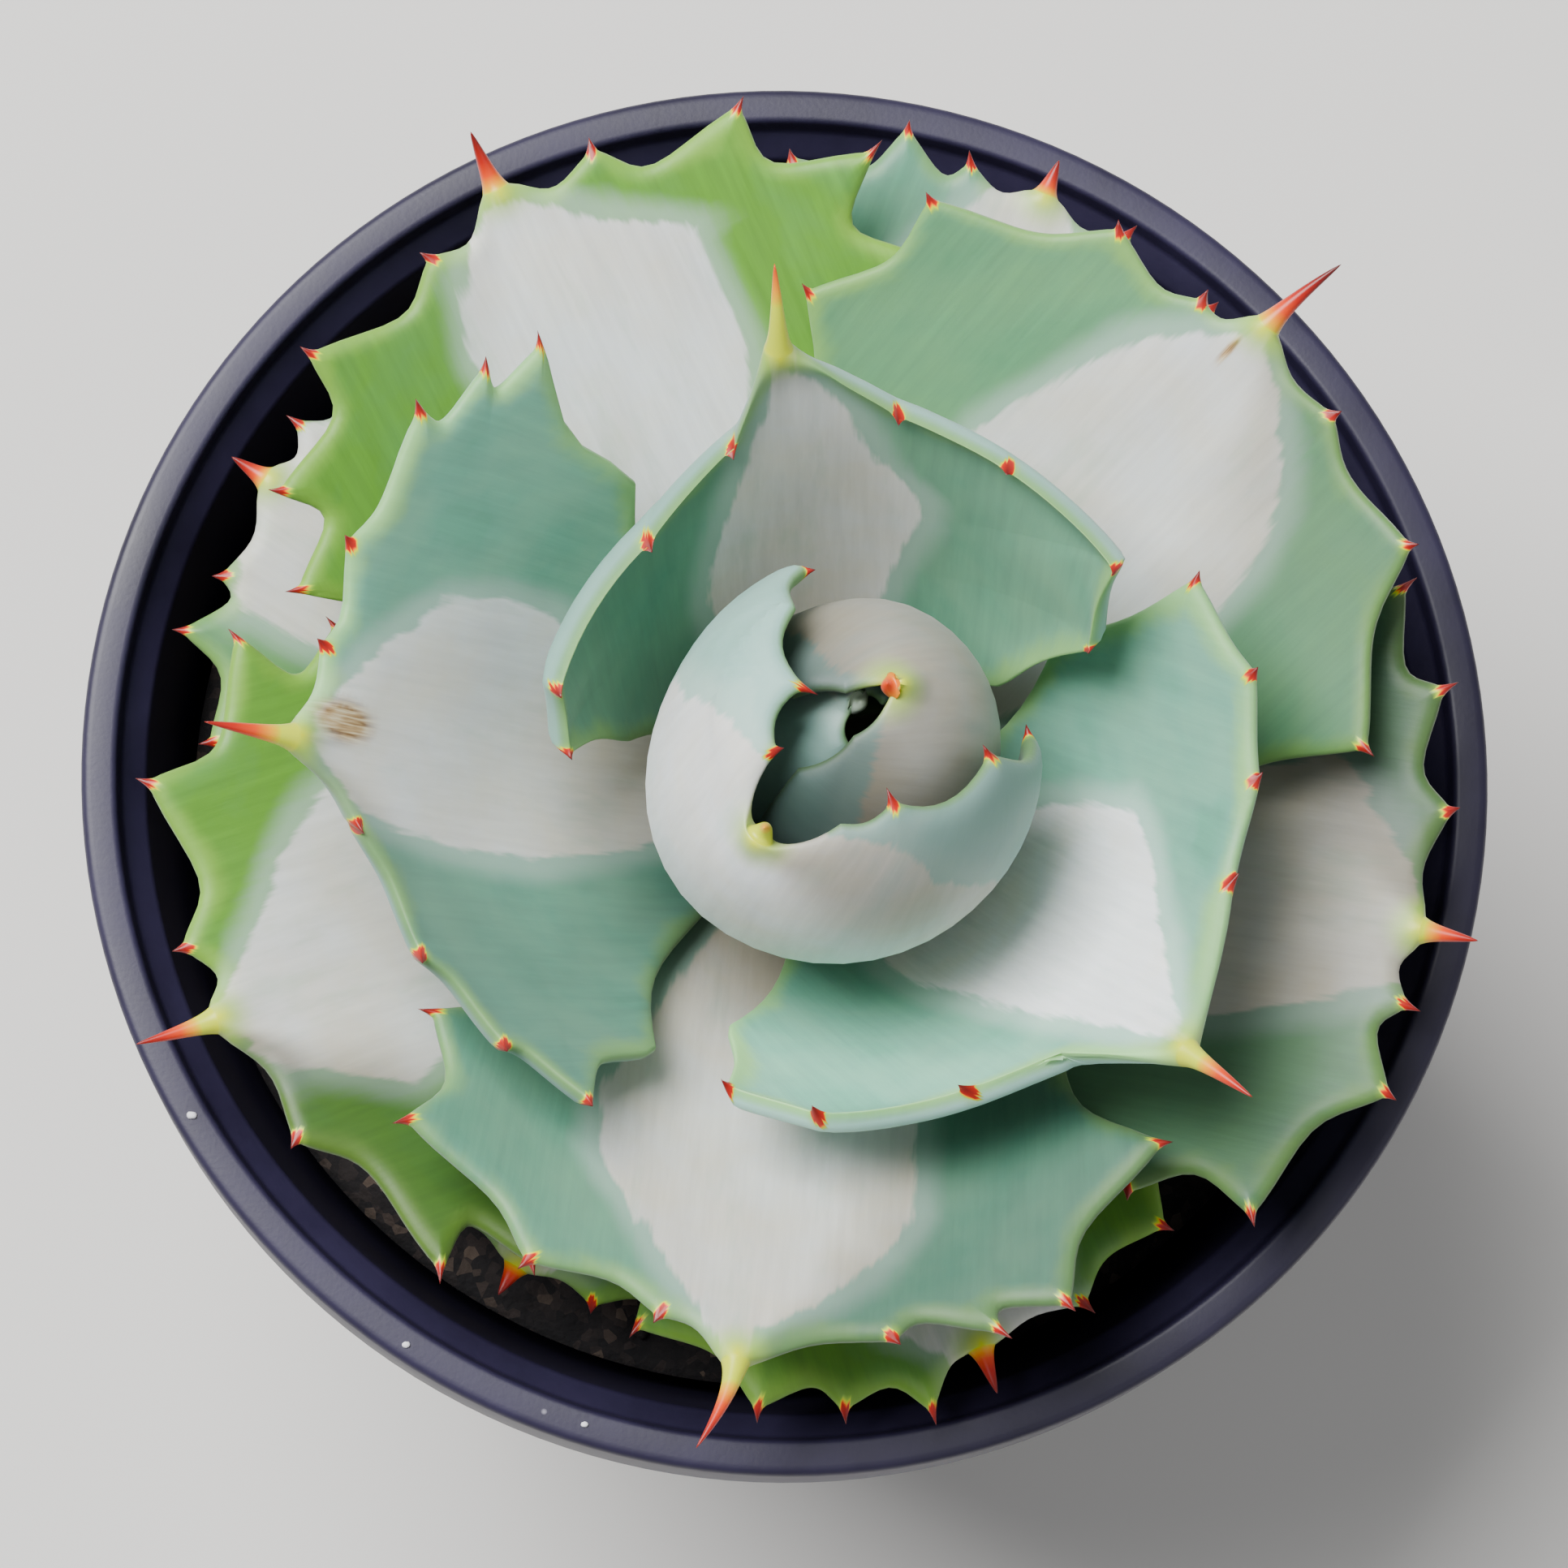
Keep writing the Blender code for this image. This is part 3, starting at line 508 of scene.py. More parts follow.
def plastic_finish(settings):
    """Black polypropylene, injection moulded: semi-matt, faintly violet, with scuffs."""
    made, tree, shader = finish_of("Moulded black polypropylene")
    place = add(tree, "TexCoord", out="Object")
    # Handling scuffs are 25 mm clouds; the mould's fine grain is drawn 0.4 mm across.
    scuff = add(tree, "TexNoise", {"Vector": place, "Scale": 1 / (25 * MM), "Detail": 6.0,
                 "Roughness": 0.65})
    grain = add(tree, "TexNoise", {"Vector": place, "Scale": 1 / (0.4 * MM), "Detail": 2.0})
    colour = add(tree, "ValToRGB", {0: scuff}, stops=(
        (0.35, tuple(settings.plastic)), (0.75, tuple(settings.scuffed))))
    # Dust sits in specks about 0.4 mm across, some 9 mm apart.
    dust_at = add(tree, "TexVoronoi", {"Vector": place, "Scale": 1 / (9 * MM), "Randomness": 1.0})
    dust = add(tree, "MapRange", {"Value": dust_at, "From Min": 0.03, "From Max": 0.012,
                "To Max": 0.5})
    dusty = add(tree, "Mix", {0: dust, 6: colour, 7: (*linear("#b9b5c4"), 1)}, data_type="RGBA")
    rough = add(tree, "MapRange", {"Value": scuff, "From Min": 0.3, "From Max": 0.7,
                 "To Min": 0.42, "To Max": 0.56})
    bump = add(tree, "Bump", {"Strength": 0.25, "Distance": 0.04 * MM, "Height": grain})
    wire(tree, shader, {
        "Base Color": dusty, "Roughness": rough, "IOR": 1.49, "Normal": bump})
    return made


def soil_finish(settings):
    """Peat and bark potting mix: matt dark crumbs, a little paler where they are dry."""
    made, tree, shader = finish_of("Peat and bark potting mix")
    place = add(tree, "TexCoord", out="Object")
    crumbs = add(tree, "TexVoronoi", {"Vector": place, "Scale": 1 / (0.8 * MM)}, out="Color")
    each = add(tree, "SeparateColor", {0: crumbs})
    colour = add(tree, "ValToRGB", {0: each}, stops=(
        (0.0, linear("#0c0a0d")), (0.6, tuple(settings.peat)), (0.93, linear("#2a2220")),
        (1.0, linear("#4d4138"))))
    fibres = add(tree, "TexNoise", {"Vector": place, "Scale": 1 / (0.5 * MM), "Detail": 4.0})
    bump = add(tree, "Bump", {"Strength": 0.7, "Distance": 0.3 * MM, "Height": fibres})
    wire(tree, shader, {"Base Color": colour, "Roughness": 0.92, "Normal": bump})
    return made


def grit_finish():
    """Bark chips and a few grains of pumice: matt, each of its own tone."""
    made, tree, shader = finish_of("Bark chips and pumice")
    tone = add(tree, "Attribute", out="Fac", attribute_name="tone")
    place = add(tree, "TexCoord", out="Object")
    colour = add(tree, "ValToRGB", {0: tone}, stops=(
        (0.0, linear("#100d0e")), (0.6, linear("#1f1917")), (0.9, linear("#3a302a")),
        (1.0, linear("#a8a29b"))))
    pores = add(tree, "TexNoise", {"Vector": place, "Scale": 1 / (0.35 * MM), "Detail": 3.0})
    bump = add(tree, "Bump", {"Strength": 0.6, "Distance": 0.15 * MM, "Height": pores})
    wire(tree, shader, {"Base Color": colour, "Roughness": 0.88, "Normal": bump})
    return made


def bark_finish(name, dark, pale, fibre_mm):
    """Fibrous plant skin: long pale fibres over a darker layer, dry and matt."""
    made, tree, shader = finish_of(name)
    place = add(tree, "TexCoord", out="Object")
    long_at = add(tree, "VectorMath", {0: place, 1: (1, 1, 0.2)}, operation="MULTIPLY")
    fibres = add(tree, "TexNoise", {"Vector": long_at, "Scale": 1 / (fibre_mm * MM),
                  "Detail": 5.0, "Roughness": 0.65})
    colour = add(tree, "ValToRGB", {0: fibres}, stops=(
        (0.3, linear(dark)), (0.7, linear(pale))))
    bump = add(tree, "Bump", {"Strength": 0.5, "Distance": 0.2 * MM, "Height": fibres})
    wire(tree, shader, {"Base Color": colour, "Roughness": 0.8, "Normal": bump})
    return made


# ---- leaves -----------------------------------------------------------------------
def headings(degrees):
    """Level unit directions at these degrees from +X towards +Y."""
    angle = np.radians(degrees)
    return np.stack([np.cos(angle), np.sin(angle)], -1)


def profile_of(leaf):
    """The four points of the leaf's profile, as (radius, height over the rim) in mm."""
    start, tip = np.array(leaf.start, float), np.array((leaf.reach, leaf.height), float)
    first = start + leaf.rise[1] * headings(leaf.rise[0])
    last = tip - leaf.flare[1] * headings(leaf.flare[0])
    return np.array((start, first, last, tip))


def along_profile(profile, share):
    """Points and unit directions of the profile at these shares of its length."""
    a, b, c, d = profile
    share = np.asarray(share, float)[..., None]
    rest = 1 - share
    point = rest**3 * a + 3 * rest**2 * share * b + 3 * rest * share**2 * c + share**3 * d
    way = rest**2 * (b - a) + 2 * rest * share * (c - b) + share**2 * (d - c)
    return point, way / np.linalg.norm(way, axis=-1, keepdims=True)


def outline(leaf, teeth, rows):
    """The margin's (share, degrees) at these rows, and the rows that end in a tooth."""
    tip_angle = math.degrees(TIP_HALF_WIDTH / max(leaf.reach, 2 * TIP_HALF_WIDTH))
    bends = [corner[:2] for corner in reversed(teeth)]
    corners = np.array([(0.0, BASE_HALF_ANGLE), *bends, (1.0, tip_angle)])
    spans = len(corners) - 1
    stops = np.array([round(ROWS * index / spans) / ROWS for index in range(spans + 1)])
    rows = np.clip(rows, 0.0, 1.0)
    span = np.clip(np.searchsorted(stops, rows, side="right") - 1, 0, spans - 1)
    part = (rows - stops[span]) / (stops[span + 1] - stops[span])
    point = corners[span] + (corners[span + 1] - corners[span]) * part[:, None]
    centre = np.array((0.5, 0.0))
    deep = leaf.scallop * np.where(span == spans - 1, 0.6, 1.0)
    hollow = deep * np.sin(np.pi * part) ** 1.3
    toothed = [stop for stop, corner in zip(stops[2:-1], list(reversed(teeth))[1:])
               if len(corner) == 2]
    return centre + (point - centre) * (1 - hollow[:, None]), toothed


def blade_thickness(rows):
    """Thickness of a full-grown leaf's midrib at these rows, in mm."""
    return np.interp(rows, (0, 0.5, 1), (THICK_BASE, THICK_MIDDLE, THICK_TIP))


def blade(leaf, rows, columns):
    """The upper face, the way down through the blade, and (share, degrees), by row, column."""
    profile = profile_of(leaf)
    widest = max(corner[1] for corner in (*leaf.left, *leaf.right))
    left, _ = outline(leaf, leaf.left, rows)
    right, _ = outline(leaf, leaf.right, rows)
    margins = np.where((columns > 0)[None, :, None], left[:, None], right[:, None])
    part = np.abs(columns)[None, :]
    share = rows[:, None] + (margins[..., 0] - rows[:, None]) * part**2
    degrees = margins[..., 1] * part * np.sign(columns)[None, :]
    point, way = along_profile(profile, share)
    wide = share * part * margins[..., 1] / widest
    radius = point[..., 0] - leaf.furl * part**2 * wide
    height = point[..., 1] + leaf.lift * wide**2
    facing = np.clip(np.cos(np.radians(leaf.turn + degrees - PRESS_HEADING)), 0, 1) ** 2
    press = facing * np.sin(np.pi * np.clip(share, 0, 1)) ** 0.5
    radius = radius - PRESS.get(leaf.name, 0) * press
    out = headings(leaf.turn + degrees)
    pull = np.array(PULL.get(leaf.name, (0, 0))) * (rows**3)[:, None]
    lean = np.array(leaf.lean) * (rows * (2 - rows))[:, None] + pull
    centre = (np.array(PLANT_AXIS) + lean)[:, None, :]
    upper = np.concatenate([centre + out * radius[..., None], (POT_TOP + height)[..., None]], -1)
    down = np.concatenate([out * way[..., 1:], -way[..., :1]], -1)
    return upper, down, out, share, degrees, radius


def fine_rows(leaf):
    """Rows across the leaf, close together where either margin has a tooth."""
    coarse = np.linspace(0, 1, 481)
    found = [np.linspace(0, 1, PLAIN_ROWS)]
    teeth = []
    for sign, side in ((1.0, leaf.left), (-1.0, leaf.right)):
        edge = blade(leaf, coarse, np.array([sign]))[0][:, 0]
        travel = np.concatenate([[0], np.cumsum(np.linalg.norm(np.diff(edge, axis=0), axis=1))])
        for stop in outline(leaf, side, coarse)[1]:
            at = np.interp(stop, coarse, travel)
            near = at + np.array((-1.1, -0.7, -0.45, -0.28, -0.13, 0, 0.13, 0.28, 0.45, 0.7, 1.1))
            found.append(np.append(np.interp(near, travel, coarse), stop))
            teeth.append((sign, stop))
    rows = np.unique(np.round(np.concatenate(found), 5))
    keep = np.concatenate([[True], np.diff(rows) > 4e-4])
    stops = np.round([stop for _, stop in teeth], 5)
    keep |= np.isin(rows, stops)
    keep[-1] = True
    return rows[keep], teeth


def stripe_depth(leaf, share, degrees, radius):
    """Distance in mm inside the edge of the pale stripe, negative outside it."""
    profile = profile_of(leaf)
    length = np.linalg.norm(np.diff(along_profile(profile, np.linspace(0, 1, 60))[0], axis=0),
                            axis=1).sum()
    depths = []
    for side, sign in zip(leaf.stripe, (1.0, -1.0)):
        shares, widths = np.array(sorted(side)).T
        width = np.interp(share, shares, widths)
        slope = np.interp(share + 0.03, shares, widths) - np.interp(share - 0.03, shares, widths)
        mm = np.abs(radius) * np.pi / 180
        depths.append((width - sign * degrees) * mm / np.sqrt(1 + (slope / 0.06 * mm / length)**2))
    return np.minimum(*depths)


def spine_path(leaf, base, forward):
    """Centres and directions of the terminal spine's rings, from the blade's tip outwards."""
    length, rise, turn = leaf.spine
    level = headings(leaf.turn + turn) * math.cos(math.radians(rise))
    end = np.array((*level, math.sin(math.radians(rise))))
    bend = base + forward * length * 0.4
    point = bend + end * length * 0.6
    t = (np.arange(1, SPINE_RINGS) / SPINE_RINGS)[:, None]
    centres = (1 - t) ** 2 * base + 2 * t * (1 - t) * bend + t**2 * point
    ways = (1 - t) * (bend - base) + t * (point - bend)
    return centres, ways / np.linalg.norm(ways, axis=1, keepdims=True), point, t[:, 0]


def margin_distances(upper):
    """Distance in mm of each point of the upper face from the margin, by row and column."""
    edge_line = np.concatenate([upper[:, 0], upper[::-1, -1]])
    steps = 8
    count = steps * (len(edge_line) - 1)
    tree = kdtree.KDTree(count)
    for number in range(count):
        before, after = divmod(number, steps)
        way = edge_line[before + 1] - edge_line[before]
        tree.insert(edge_line[before] + way * after / steps, number)
    tree.balance()
    margin = np.array([tree.find(spot)[2] for spot in upper.reshape(-1, 3)])
    margin = margin.reshape(upper.shape[:2])
    margin[:, [0, -1]] = 0.0
    return margin


def rolled(leaf, upper, out, share, rows, part, margin):
    """The upper face with its margins swollen outwards inside their edges, which curl in."""
    swell = margin / ROLL_REACH * np.exp(1 - margin / ROLL_REACH)
    swell -= ROLL_TUCK * np.exp(-margin / ROLL_TUCK)
    swell *= np.clip(share * 3 - 0.6, 0, 1) * np.clip((1 - rows) / 0.08, 0, 1)[:, None]
    curl = np.where(part > 0, *leaf.roll) * swell
    return upper + np.concatenate([out * curl[..., None], np.zeros((*margin.shape, 1))], 2)


def thickened(leaf, upper, down, rows, part, margin):
    """The surface in the middle of the blade, and half the blade's thickness, both rounded
    at the margins and drawn together to a round tip."""
    full = leaf.thick * blade_thickness(rows)[:, None]
    thin = np.minimum(MARGIN_DEPTH, full)
    depth = thin + (full - thin) * (1 - part**2)
    edge_shape = np.sqrt(1 - (1 - np.clip(margin / EDGE_ROUND, 0, 1)) ** 2)
    circle = np.sqrt(np.clip(1 - part**2, 0, 1))
    tipped = eased(np.clip((rows - 0.9) / 0.1, 0, 1)[:, None])
    half = depth / 2 * (edge_shape * (1 - tipped) + circle * tipped)
    half = half * (1 - tipped) + np.maximum(half, TIP_HALF_WIDTH * circle) * tipped
    return upper + down * (depth / 2)[..., None], half


def grow_teeth(leaf, rows, teeth, middle, tooth_scale, draw):
    """How far each point moves for the teeth, its share of a tooth's height, and its
    distance from the nearest tooth."""
    moved = np.zeros_like(middle)
    grown_most = np.zeros(middle.shape[:2])
    nearest = np.full(middle.shape[:2], NO_TOOTH_NEAR)
    for sign, stop in teeth if leaf.tooth else ():
        row = int(np.argmin(np.abs(rows - stop)))
        column = COLUMNS - 1 if sign > 0 else 0
        tip = middle[row, column]
        outward = tip - middle[row, column - int(sign) * 3]
        outward /= np.linalg.norm(outward)
        tangent = middle[min(row + 3, len(rows) - 1), column] - middle[row - 3, column]
        tangent -= outward * (tangent @ outward)
        tangent /= np.linalg.norm(tangent)
        thick_way = np.cross(outward, tangent)
        length = leaf.tooth * tooth_scale * draw.uniform(0.75, 1.25)
        lean = tangent * draw.uniform(-0.1, 0.45) + thick_way * draw.uniform(-0.25, 0.25)
        away = middle - tip
        distance = np.linalg.norm(away, axis=2)
        beside = np.abs(away @ tangent)
        inside = np.clip(-(away @ outward), 0, None)
        grown = np.clip(1 - beside / TOOTH_BASE, 0, 1) ** 1.6
        grown *= np.clip(1 - inside / TOOTH_REACH_IN, 0, 1)
        grown[distance > TOOTH_CLEAR] = 0
        moved += (outward + lean) * (grown * length)[..., None]
        grown_most = np.maximum(grown_most, grown)
        nearest = np.minimum(nearest, distance)
    return moved, grown_most, nearest


def spine_rings(leaf, columns, centres, ways, steps):
    """Rings of points round the terminal spine, in the order of the blade's own rings."""
    ring_at = np.concatenate([columns, columns[-2:0:-1]])
    over = np.concatenate([np.ones(COLUMNS), -np.ones(COLUMNS - 2)])
    lift = np.sqrt(np.clip(1 - ring_at**2, 0, 1)) * over
    side = np.array((-headings(leaf.turn)[1], headings(leaf.turn)[0], 0.0))
    radii = TIP_HALF_WIDTH * (0.25 * (1 - steps) ** 6 + 0.75 * (1 - steps) ** 0.7)
    rings = []
    for centre, direction, radius in zip(centres, ways, radii):
        up = np.cross(direction, side)
        up /= np.linalg.norm(up)
        rings.append(centre + radius * (ring_at[:, None] * side + lift[:, None] * up))
    return rings


def skin_faces(count, size):
    """Faces of a closed skin of rings of this size, from the leaf's base to the spine's point."""
    faces = []
    here = np.arange(size)
    after = (here + 1) % size
    for ring in range(count - 1):
        a, b = ring * size, (ring + 1) * size
        faces += np.stack([a + here, b + here, b + after, a + after], 1).tolist()
    last = (count - 1) * size
    faces += [(last + one, count * size, last + two) for one, two in zip(here, after)]
    # The base is closed by strips from the upper face's row to the lower face's.
    low = [0, *range(size - 1, COLUMNS - 1, -1), COLUMNS - 1]
    for column in range(COLUMNS - 1):
        corners = (column, column + 1, low[column + 1], low[column])
        faces.append(tuple(dict.fromkeys(corners)))
    return faces


def horn_of(leaf, steps, to_tip, toothed, tooth_near):
    """How horny and how red each point is, on the blade, on the spine's rings and at its
    point: 0 is leaf, 1 yellow horn and 2 its darkest red."""
    yellow, red = leaf.spine_tone
    horn = np.clip(1 - to_tip / 3.2, 0, 1) * (0.95 if red else 0.0)
    horn = np.maximum(horn, np.clip(1 - tooth_near / 1.1, 0, 1) * 0.8)
    horn = np.where(toothed > 0.1, 1.32 + 0.64 * toothed ** 0.5, horn)
    if not red:
        return horn, np.zeros(len(steps)), 0
    ripe = np.clip((steps - yellow) / (1 - yellow), 0, 1) ** 0.6
    return horn, 0.9 + (0.1 + red) * ripe, 1.0 + red


def shade_of(leaf, part, share, degrees):
    """Painted light and shade at each point of the blade. Leaf bases are painted darker, as
    the shade deep in the rosette, and each side is painted as bright as the light on it."""
    heart_shade = 0.4 + 0.6 * eased(np.clip(share / 0.48, 0, 1))
    # The bud's toothless leaves are painted darker on their steep flanks, as shade.
    if not leaf.tooth:
        heart_shade = heart_shade * (1 - 0.6 * np.clip((np.abs(degrees) - 60) / 60, 0, 1))
    aside = eased(np.clip((np.abs(part) - 0.35) / 0.4, 0, 1))
    left, between, right = leaf.shade
    return heart_shade * (between + (np.where(part > 0, left, right) - between) * aside)


def marks_of(leaf, share, degrees, radius):
    """Share of cork at each point of the blade."""
    marks = np.zeros(share.shape)
    for name, mark_share, mark_degrees, wide, long in MARKS:
        if name == leaf.name:
            beside = (degrees - mark_degrees) * np.pi / 180 * radius / wide
            along = (share - mark_share) * MIDRIB / long
            marks = np.maximum(marks, np.clip(2.2 - 2.0 * np.hypot(beside, along), 0, 1))
    return marks


def make_leaf(leaf, finish, tooth_scale):
    """One leaf as a single closed skin: blade, teeth and terminal spine."""
    seed = int(leaf.name[-2:])
    rows, teeth = fine_rows(leaf)
    columns = np.sin(np.linspace(-1, 1, COLUMNS) * np.pi / 2)
    part = columns[None, :]
    plain, down, out, share, degrees, radius = blade(leaf, rows, columns)
    margin = margin_distances(plain)
    upper = rolled(leaf, plain, out, share, rows, part, margin)
    middle, half = thickened(leaf, upper, down, rows, part, margin)
    waves = random_heights(plain.reshape(-1, 3) + 40 * seed, WAVE_LENGTH, seed) * WAVE_HEIGHT
    middle -= down * (waves.reshape(margin.shape) * np.clip(margin / 3, 0, 1))[..., None]
    moved, toothed, tooth_near = grow_teeth(
        leaf, rows, teeth, middle, tooth_scale, np.random.RandomState(100 + seed))
    half = half * (1 - TOOTH_THINNING * toothed)
    middle = middle + moved
    top = middle - down * half[..., None]
    bottom = middle + down * half[..., None]

    base = middle[-1, COLUMNS // 2]
    _, way = along_profile(profile_of(leaf), 1.0)
    forward = np.array((*(headings(leaf.turn) * way[0]), way[1]))
    centres, ways, apex, steps = spine_path(leaf, base, forward)
    rings = [np.concatenate([top[row], bottom[row, -2:0:-1]]) for row in range(len(rows))]
    rings += spine_rings(leaf, columns, centres, ways, steps)
    size = len(rings[0])
    points = np.concatenate([*rings, apex[None]])
    made = piece(leaf.name + "_blade", points, skin_faces(len(rings), size), finish,
                 (leaf.name,))

    def on_rings(grid, spine_values, apex_value, under=None):
        """Values for all points, from those of the upper and the lower face."""
        under = grid if under is None else under
        body = [np.concatenate([row, low[-2:0:-1]]) for row, low in zip(grid, under)]
        return np.concatenate([*body, np.repeat(spine_values, size), [apex_value]])

    zero = np.zeros(len(steps))
    to_tip = np.linalg.norm(middle - base, axis=2)
    mesh = made.data
    store(mesh, "leaf_mm", np.stack([
        on_rings(np.abs(radius) * np.radians(degrees), zero, 0),
        on_rings(share * MIDRIB, zero + 50, 50), np.full(len(points), seed * 37.0)], 1))
    store(mesh, "stripe_mm", on_rings(stripe_depth(leaf, share, degrees, radius), zero, 0))
    store(mesh, "margin_mm", on_rings(margin, zero, 0))
    store(mesh, "horn", on_rings(*horn_of(leaf, steps, to_tip, toothed, tooth_near)))
    store(mesh, "tint", np.full(len(points), leaf.tint))
    # Painted light and shade, from shade_of, to scale the leaf's colour.
    store(mesh, "shade", on_rings(shade_of(leaf, part, share, degrees), zero + 1, 1))
    behind = np.clip(margin / 0.3, 0, 1)
    store(mesh, "back", on_rings(np.zeros(behind.shape), zero, 0, behind))
    store(mesh, "mark", on_rings(marks_of(leaf, share, degrees, radius), zero, 0))
    return made


# ---- settings ---------------------------------------------------------------------
def colour_property(name, description, code):
    return bpy.props.FloatVectorProperty(
        name=name, description=description, default=linear(code), subtype="COLOR",
        min=0.0, max=1.0)


class AgavePlantSettings(bpy.types.PropertyGroup):
    green_young: colour_property("Young green", "Blade of the inner leaves", "#4d9074")
    green_old: colour_property("Old green", "Blade of the outer leaves", "#5d961e")
    bloom: colour_property("Wax bloom", "Film of wax over the blade", "#9dc5bc")
    bloom_amount: bpy.props.FloatProperty(
        name="Bloom", description="How much the wax covers", default=0.45, min=0.0, max=1.0)
    stripe: colour_property("Stripe", "Middle stripe", "#dde1e2")
    stripe_warm: colour_property("Warm stripe", "Creamier parts of the stripe", "#dad2bb")
    stripe_edge: colour_property("Stripe edge", "Where the stripe meets the green", "#b9d2c6")
    margin: colour_property("Margin", "Thin-waxed margin", "#93c043")
    tooth_scale: bpy.props.FloatProperty(
        name="Tooth size", description="Length of the margin's teeth against a full set",
        default=1.0, min=0.0, max=3.0)


class AgavePotSettings(bpy.types.PropertyGroup):
    plastic: colour_property("Plastic", "Moulded plastic", "#1d192e")
    scuffed: colour_property("Scuffed plastic", "Where handling has dulled it", "#2f2947")
    peat: colour_property("Peat", "Crumbs of potting mix", "#171314")
    lip_round: bpy.props.FloatProperty(
        name="Lip rounding", description="Radius of the lip's outer edge",
        default=0.8 * MM, min=0.1 * MM, max=1.5 * MM, unit="LENGTH")
    segments: bpy.props.IntProperty(
        name="Segments", description="Flats round the pot", default=160, min=48, max=360)
    chips: bpy.props.IntProperty(
        name="Chips", description="Loose chips on the potting mix", default=240, min=0,
        max=1000)


class AgaveStageSettings(bpy.types.PropertyGroup):
    floor: colour_property("Floor", "Plain floor", "#d9d7d3")
    key_power: bpy.props.FloatProperty(
        name="Key light", description="Power of the large soft light", default=33.0,
        min=0.0, unit="POWER")
    fill_power: bpy.props.FloatProperty(
        name="Fill light", description="Power of the weaker light across from it",
        default=2.5, min=0.0, unit="POWER")
    sky: bpy.props.FloatProperty(
        name="Sky", description="Strength of the even light from all round", default=0.3,
        min=0.0)


# ---- operators --------------------------------------------------------------------
def wall_radius(height):
    """Outer radius of the pot's wall at this height over its underside, in mm."""
    return FOOT + (RIM - LIP_WIDTH - FOOT) * height / POT_TOP


def drill_drains(pot, context):
    """Cuts the drain holes through the pot's floor."""
    for number in range(DRAIN_HOLES):
        cut = bmesh.new()
        # The drill is turned so that none of its corners falls on the floor's own edges.
        bmesh.ops.create_cone(cut, cap_ends=True, segments=32, radius1=DRAIN_RADIUS * MM,
                              radius2=DRAIN_RADIUS * MM, depth=4 * FLOOR * MM,
                              matrix=Matrix.Rotation(math.radians(3.1), 4, "Z"))
        out = headings(360.0 * number / DRAIN_HOLES) * (FOOT - DRAIN_INSET) * MM
        bmesh.ops.translate(cut, verts=cut.verts, vec=(*out, 0.0))
        drill_mesh = bpy.data.meshes.new("drill")
        cut.to_mesh(drill_mesh)
        cut.free()
        drill = bpy.data.objects.new("drill", drill_mesh)
        context.scene.collection.objects.link(drill)
        carve = pot.modifiers.new("Drain", "BOOLEAN")
        carve.operation = "DIFFERENCE"
        carve.object = drill
        context.view_layer.update()
        graph = context.evaluated_depsgraph_get()
        cut_mesh = bpy.data.meshes.new_from_object(pot.evaluated_get(graph))
        pot.modifiers.clear()
        pot.data = cut_mesh
        bpy.data.objects.remove(drill)
    check_closed(pot.data)


def perlite_finish():
    """Expanded volcanic glass: a bright, chalky fleck against the dark plastic."""
    made, tree, shader = finish_of("Expanded perlite grains")
    wire(tree, shader, {"Base Color": (*linear("#e4e2e8"), 1.0), "Roughness": 0.9})
    return made


class AGAVE_OT_pot(bpy.types.Operator):
    """Makes the moulded pot with its stepped, rounded lip and drain holes"""

    bl_idname = "agave.make_pot"
    bl_label = "Make pot"

    def execute(self, context):
        settings = context.scene.agave_pot
        lip = settings.lip_round / MM
        mouth = wall_radius(POT_TOP) - WALL
        ledge, flange, skirt_foot = POT_TOP - 1.5, POT_TOP - 3.4, POT_TOP - LIP_DROP
        # Each corner of the wall's section, from the floor's middle over the lip and down
        # the outside to the foot, and how far it is rounded.
        band = POT_TOP * 0.62
        corners = (
            ((0.0, FLOOR), 0), ((wall_radius(FLOOR) - WALL, FLOOR), 1.8),
            ((mouth + 0.5, ledge - 1.6), 0.35), ((RIM - 2.9, ledge), 0.3),
            ((RIM - 2.6, POT_TOP), 0.45), ((RIM, POT_TOP), lip), ((RIM, skirt_foot), 0.3),
            ((RIM - SKIRT, skirt_foot), 0.3), ((RIM - SKIRT, flange), 0.4),
            ((wall_radius(flange), flange), 0.4), ((wall_radius(band), band), 0.15),
            ((wall_radius(band - 0.5) - 0.3, band - 0.5), 0.15), ((FOOT, 0.0), 0.5),
            ((0.0, 0.0), 0),
        )
        points, faces = turned(rounded(*zip(*corners)), settings.segments)
        pot = piece("pot_shell", points, faces, plastic_finish(settings),
                    ("pot",))
        drill_drains(pot, context)
        if len(pot.data.polygons) < len(faces):
            raise RuntimeError("the pot lost faces when its drain holes were cut")
        pot.data.shade_smooth()
        pot.data.set_sharp_from_angle(angle=math.radians(40))

        grains, grain_faces = [], []
        for heading, inset, size in PERLITE:
            at = (*headings(heading) * (RIM - inset), POT_TOP + size * 0.2)
            body = LUMP_POINTS * (1 + 0.2 * random_heights(LUMP_POINTS * 2, 1.0, heading))[:, None]
            grain_faces += (LUMP_FACES + len(grains) * len(LUMP_POINTS)).tolist()
            grains.append(body * size * np.array((1.0, 0.8, 0.6)) + at)
        piece("rim_perlite", np.concatenate(grains), grain_faces, perlite_finish())
        return {"FINISHED"}


def stem_radius(height):
    """Radius of the stem at this height over the rim, where it meets the leaves' bases."""
    slope = -COLLAR_STEP[0] / COLLAR_STEP[1]
    return COLLAR[0] + slope * (COLLAR[1] - height)


def soil_spot(way, margin):
    """The soil's inner edge at the stem, in this direction and this far off the stem."""
    return np.array(PLANT_AXIS) + way * (stem_radius(-SOIL_DROP) - STEM_CLEARANCE + margin)


